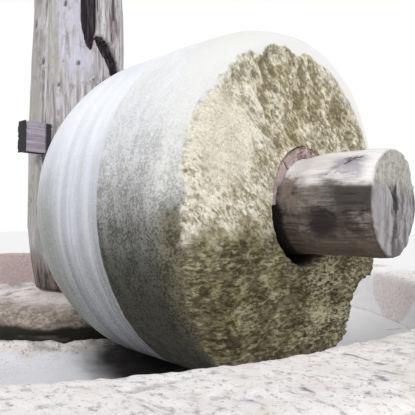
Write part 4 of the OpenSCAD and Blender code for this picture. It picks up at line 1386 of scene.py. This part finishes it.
def make_floor():
    mesh = bpy.data.meshes.new("floor")
    mesh.from_pydata([(-30, -30, 0), (30, -30, 0), (30, 30, 0), (-30, 30, 0)], [], [(0, 1, 2, 3)])
    material = bpy.data.materials.new("pale floor")
    material.use_nodes = True
    shader = material.node_tree.nodes["Principled BSDF"]
    shader.inputs["Base Color"].default_value = (0.86, 0.86, 0.86, 1)
    shader.inputs["Roughness"].default_value = 0.9
    mesh.materials.append(material)
    floor = add_object("floor", mesh)


def make_sky(strength):
    """Even light for the object, and plain white where the camera or a reflection sees it."""
    world = bpy.data.worlds.new("studio")
    bpy.context.scene.world = world
    world.use_nodes = True
    world.node_tree.nodes.clear()
    t = Tree(world.node_tree)
    camera_ray, _, _, glossy_ray, _, _, clear_ray = t.add("ShaderNodeLightPath")[:7]
    seen = t.maths("MAXIMUM", camera_ray, t.maths("MAXIMUM", glossy_ray, clear_ray))
    light, white = (t.add("ShaderNodeBackground", {"Color": (1, 1, 1), "Strength": value})[0]
                    for value in (strength, 1))
    both = t.add("ShaderNodeMixShader", {0: seen, 1: light, 2: white})[0]
    t.add("ShaderNodeOutputWorld", {"Surface": both})


def set_up(thing, x, y, z, place=(0, 0, 0)):
    """Adds a lamp or camera with its axes and its place."""
    holder = add_object(thing.name, thing)
    holder.matrix_world = Matrix([*zip(x, y, z, place), (0, 0, 0, 1)])
    return holder


def make_lamp(name, toward, strength, softness):
    """A sun whose light comes from the direction given."""
    lamp = bpy.data.lights.new(name, "SUN")
    lamp.energy, lamp.angle = strength, math.radians(softness)
    z = np.array(toward) / np.linalg.norm(toward)
    x = np.cross((0.3, 1.0, 0.1), z)
    x /= np.linalg.norm(x)
    set_up(lamp, x, np.cross(z, x), z)


def make_camera():
    """Placed by a fit to the outlines in the photo, for a frame of 415 by 415."""
    frame_px, focal_px, sensor = 415, 511.86, 36
    yaw, pitch, roll = 0.7321, -0.0216, 0.0057
    ahead = np.array([-math.cos(pitch) * math.sin(yaw), math.cos(pitch) * math.cos(yaw), -math.sin(pitch)])
    level = np.array([math.cos(yaw), math.sin(yaw), 0])
    upright = np.cross(level, ahead)
    right, up = (math.cos(roll) * level + math.sin(roll) * upright,
                 -math.sin(roll) * level + math.cos(roll) * upright)
    lens = bpy.data.cameras.new("camera")
    lens.sensor_width, lens.lens, lens.clip_start = sensor, sensor * focal_px / frame_px, 0.05
    bpy.context.scene.camera = set_up(lens, right, up, -ahead, (1.8567, -1.2435, 0.9213))


make_runner()
for number in range(len(RIM_JOINTS) - 1):
    make_rim_stone(number)
make_mortar()
for number in range(BED_COUNT):
    make_bed_stone(number)
make_hub()
make_drum_core()
make_rubble()
make_shaft()
make_cross_timber()
make_axle()
make_key()
for number in range(len(STAVE_BACK)):
    make_stave(number)
for node in ("footstep_bearing", "shaft_pivot", "top_gudgeon"):
    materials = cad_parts[node].data.materials
    materials.clear()
    materials.append(FINISH["iron"])

make_floor()
make_sky(0.50)
for lamp in LAMPS:
    make_lamp(*lamp)
make_camera()
bpy.context.scene.view_settings.view_transform = "Standard"
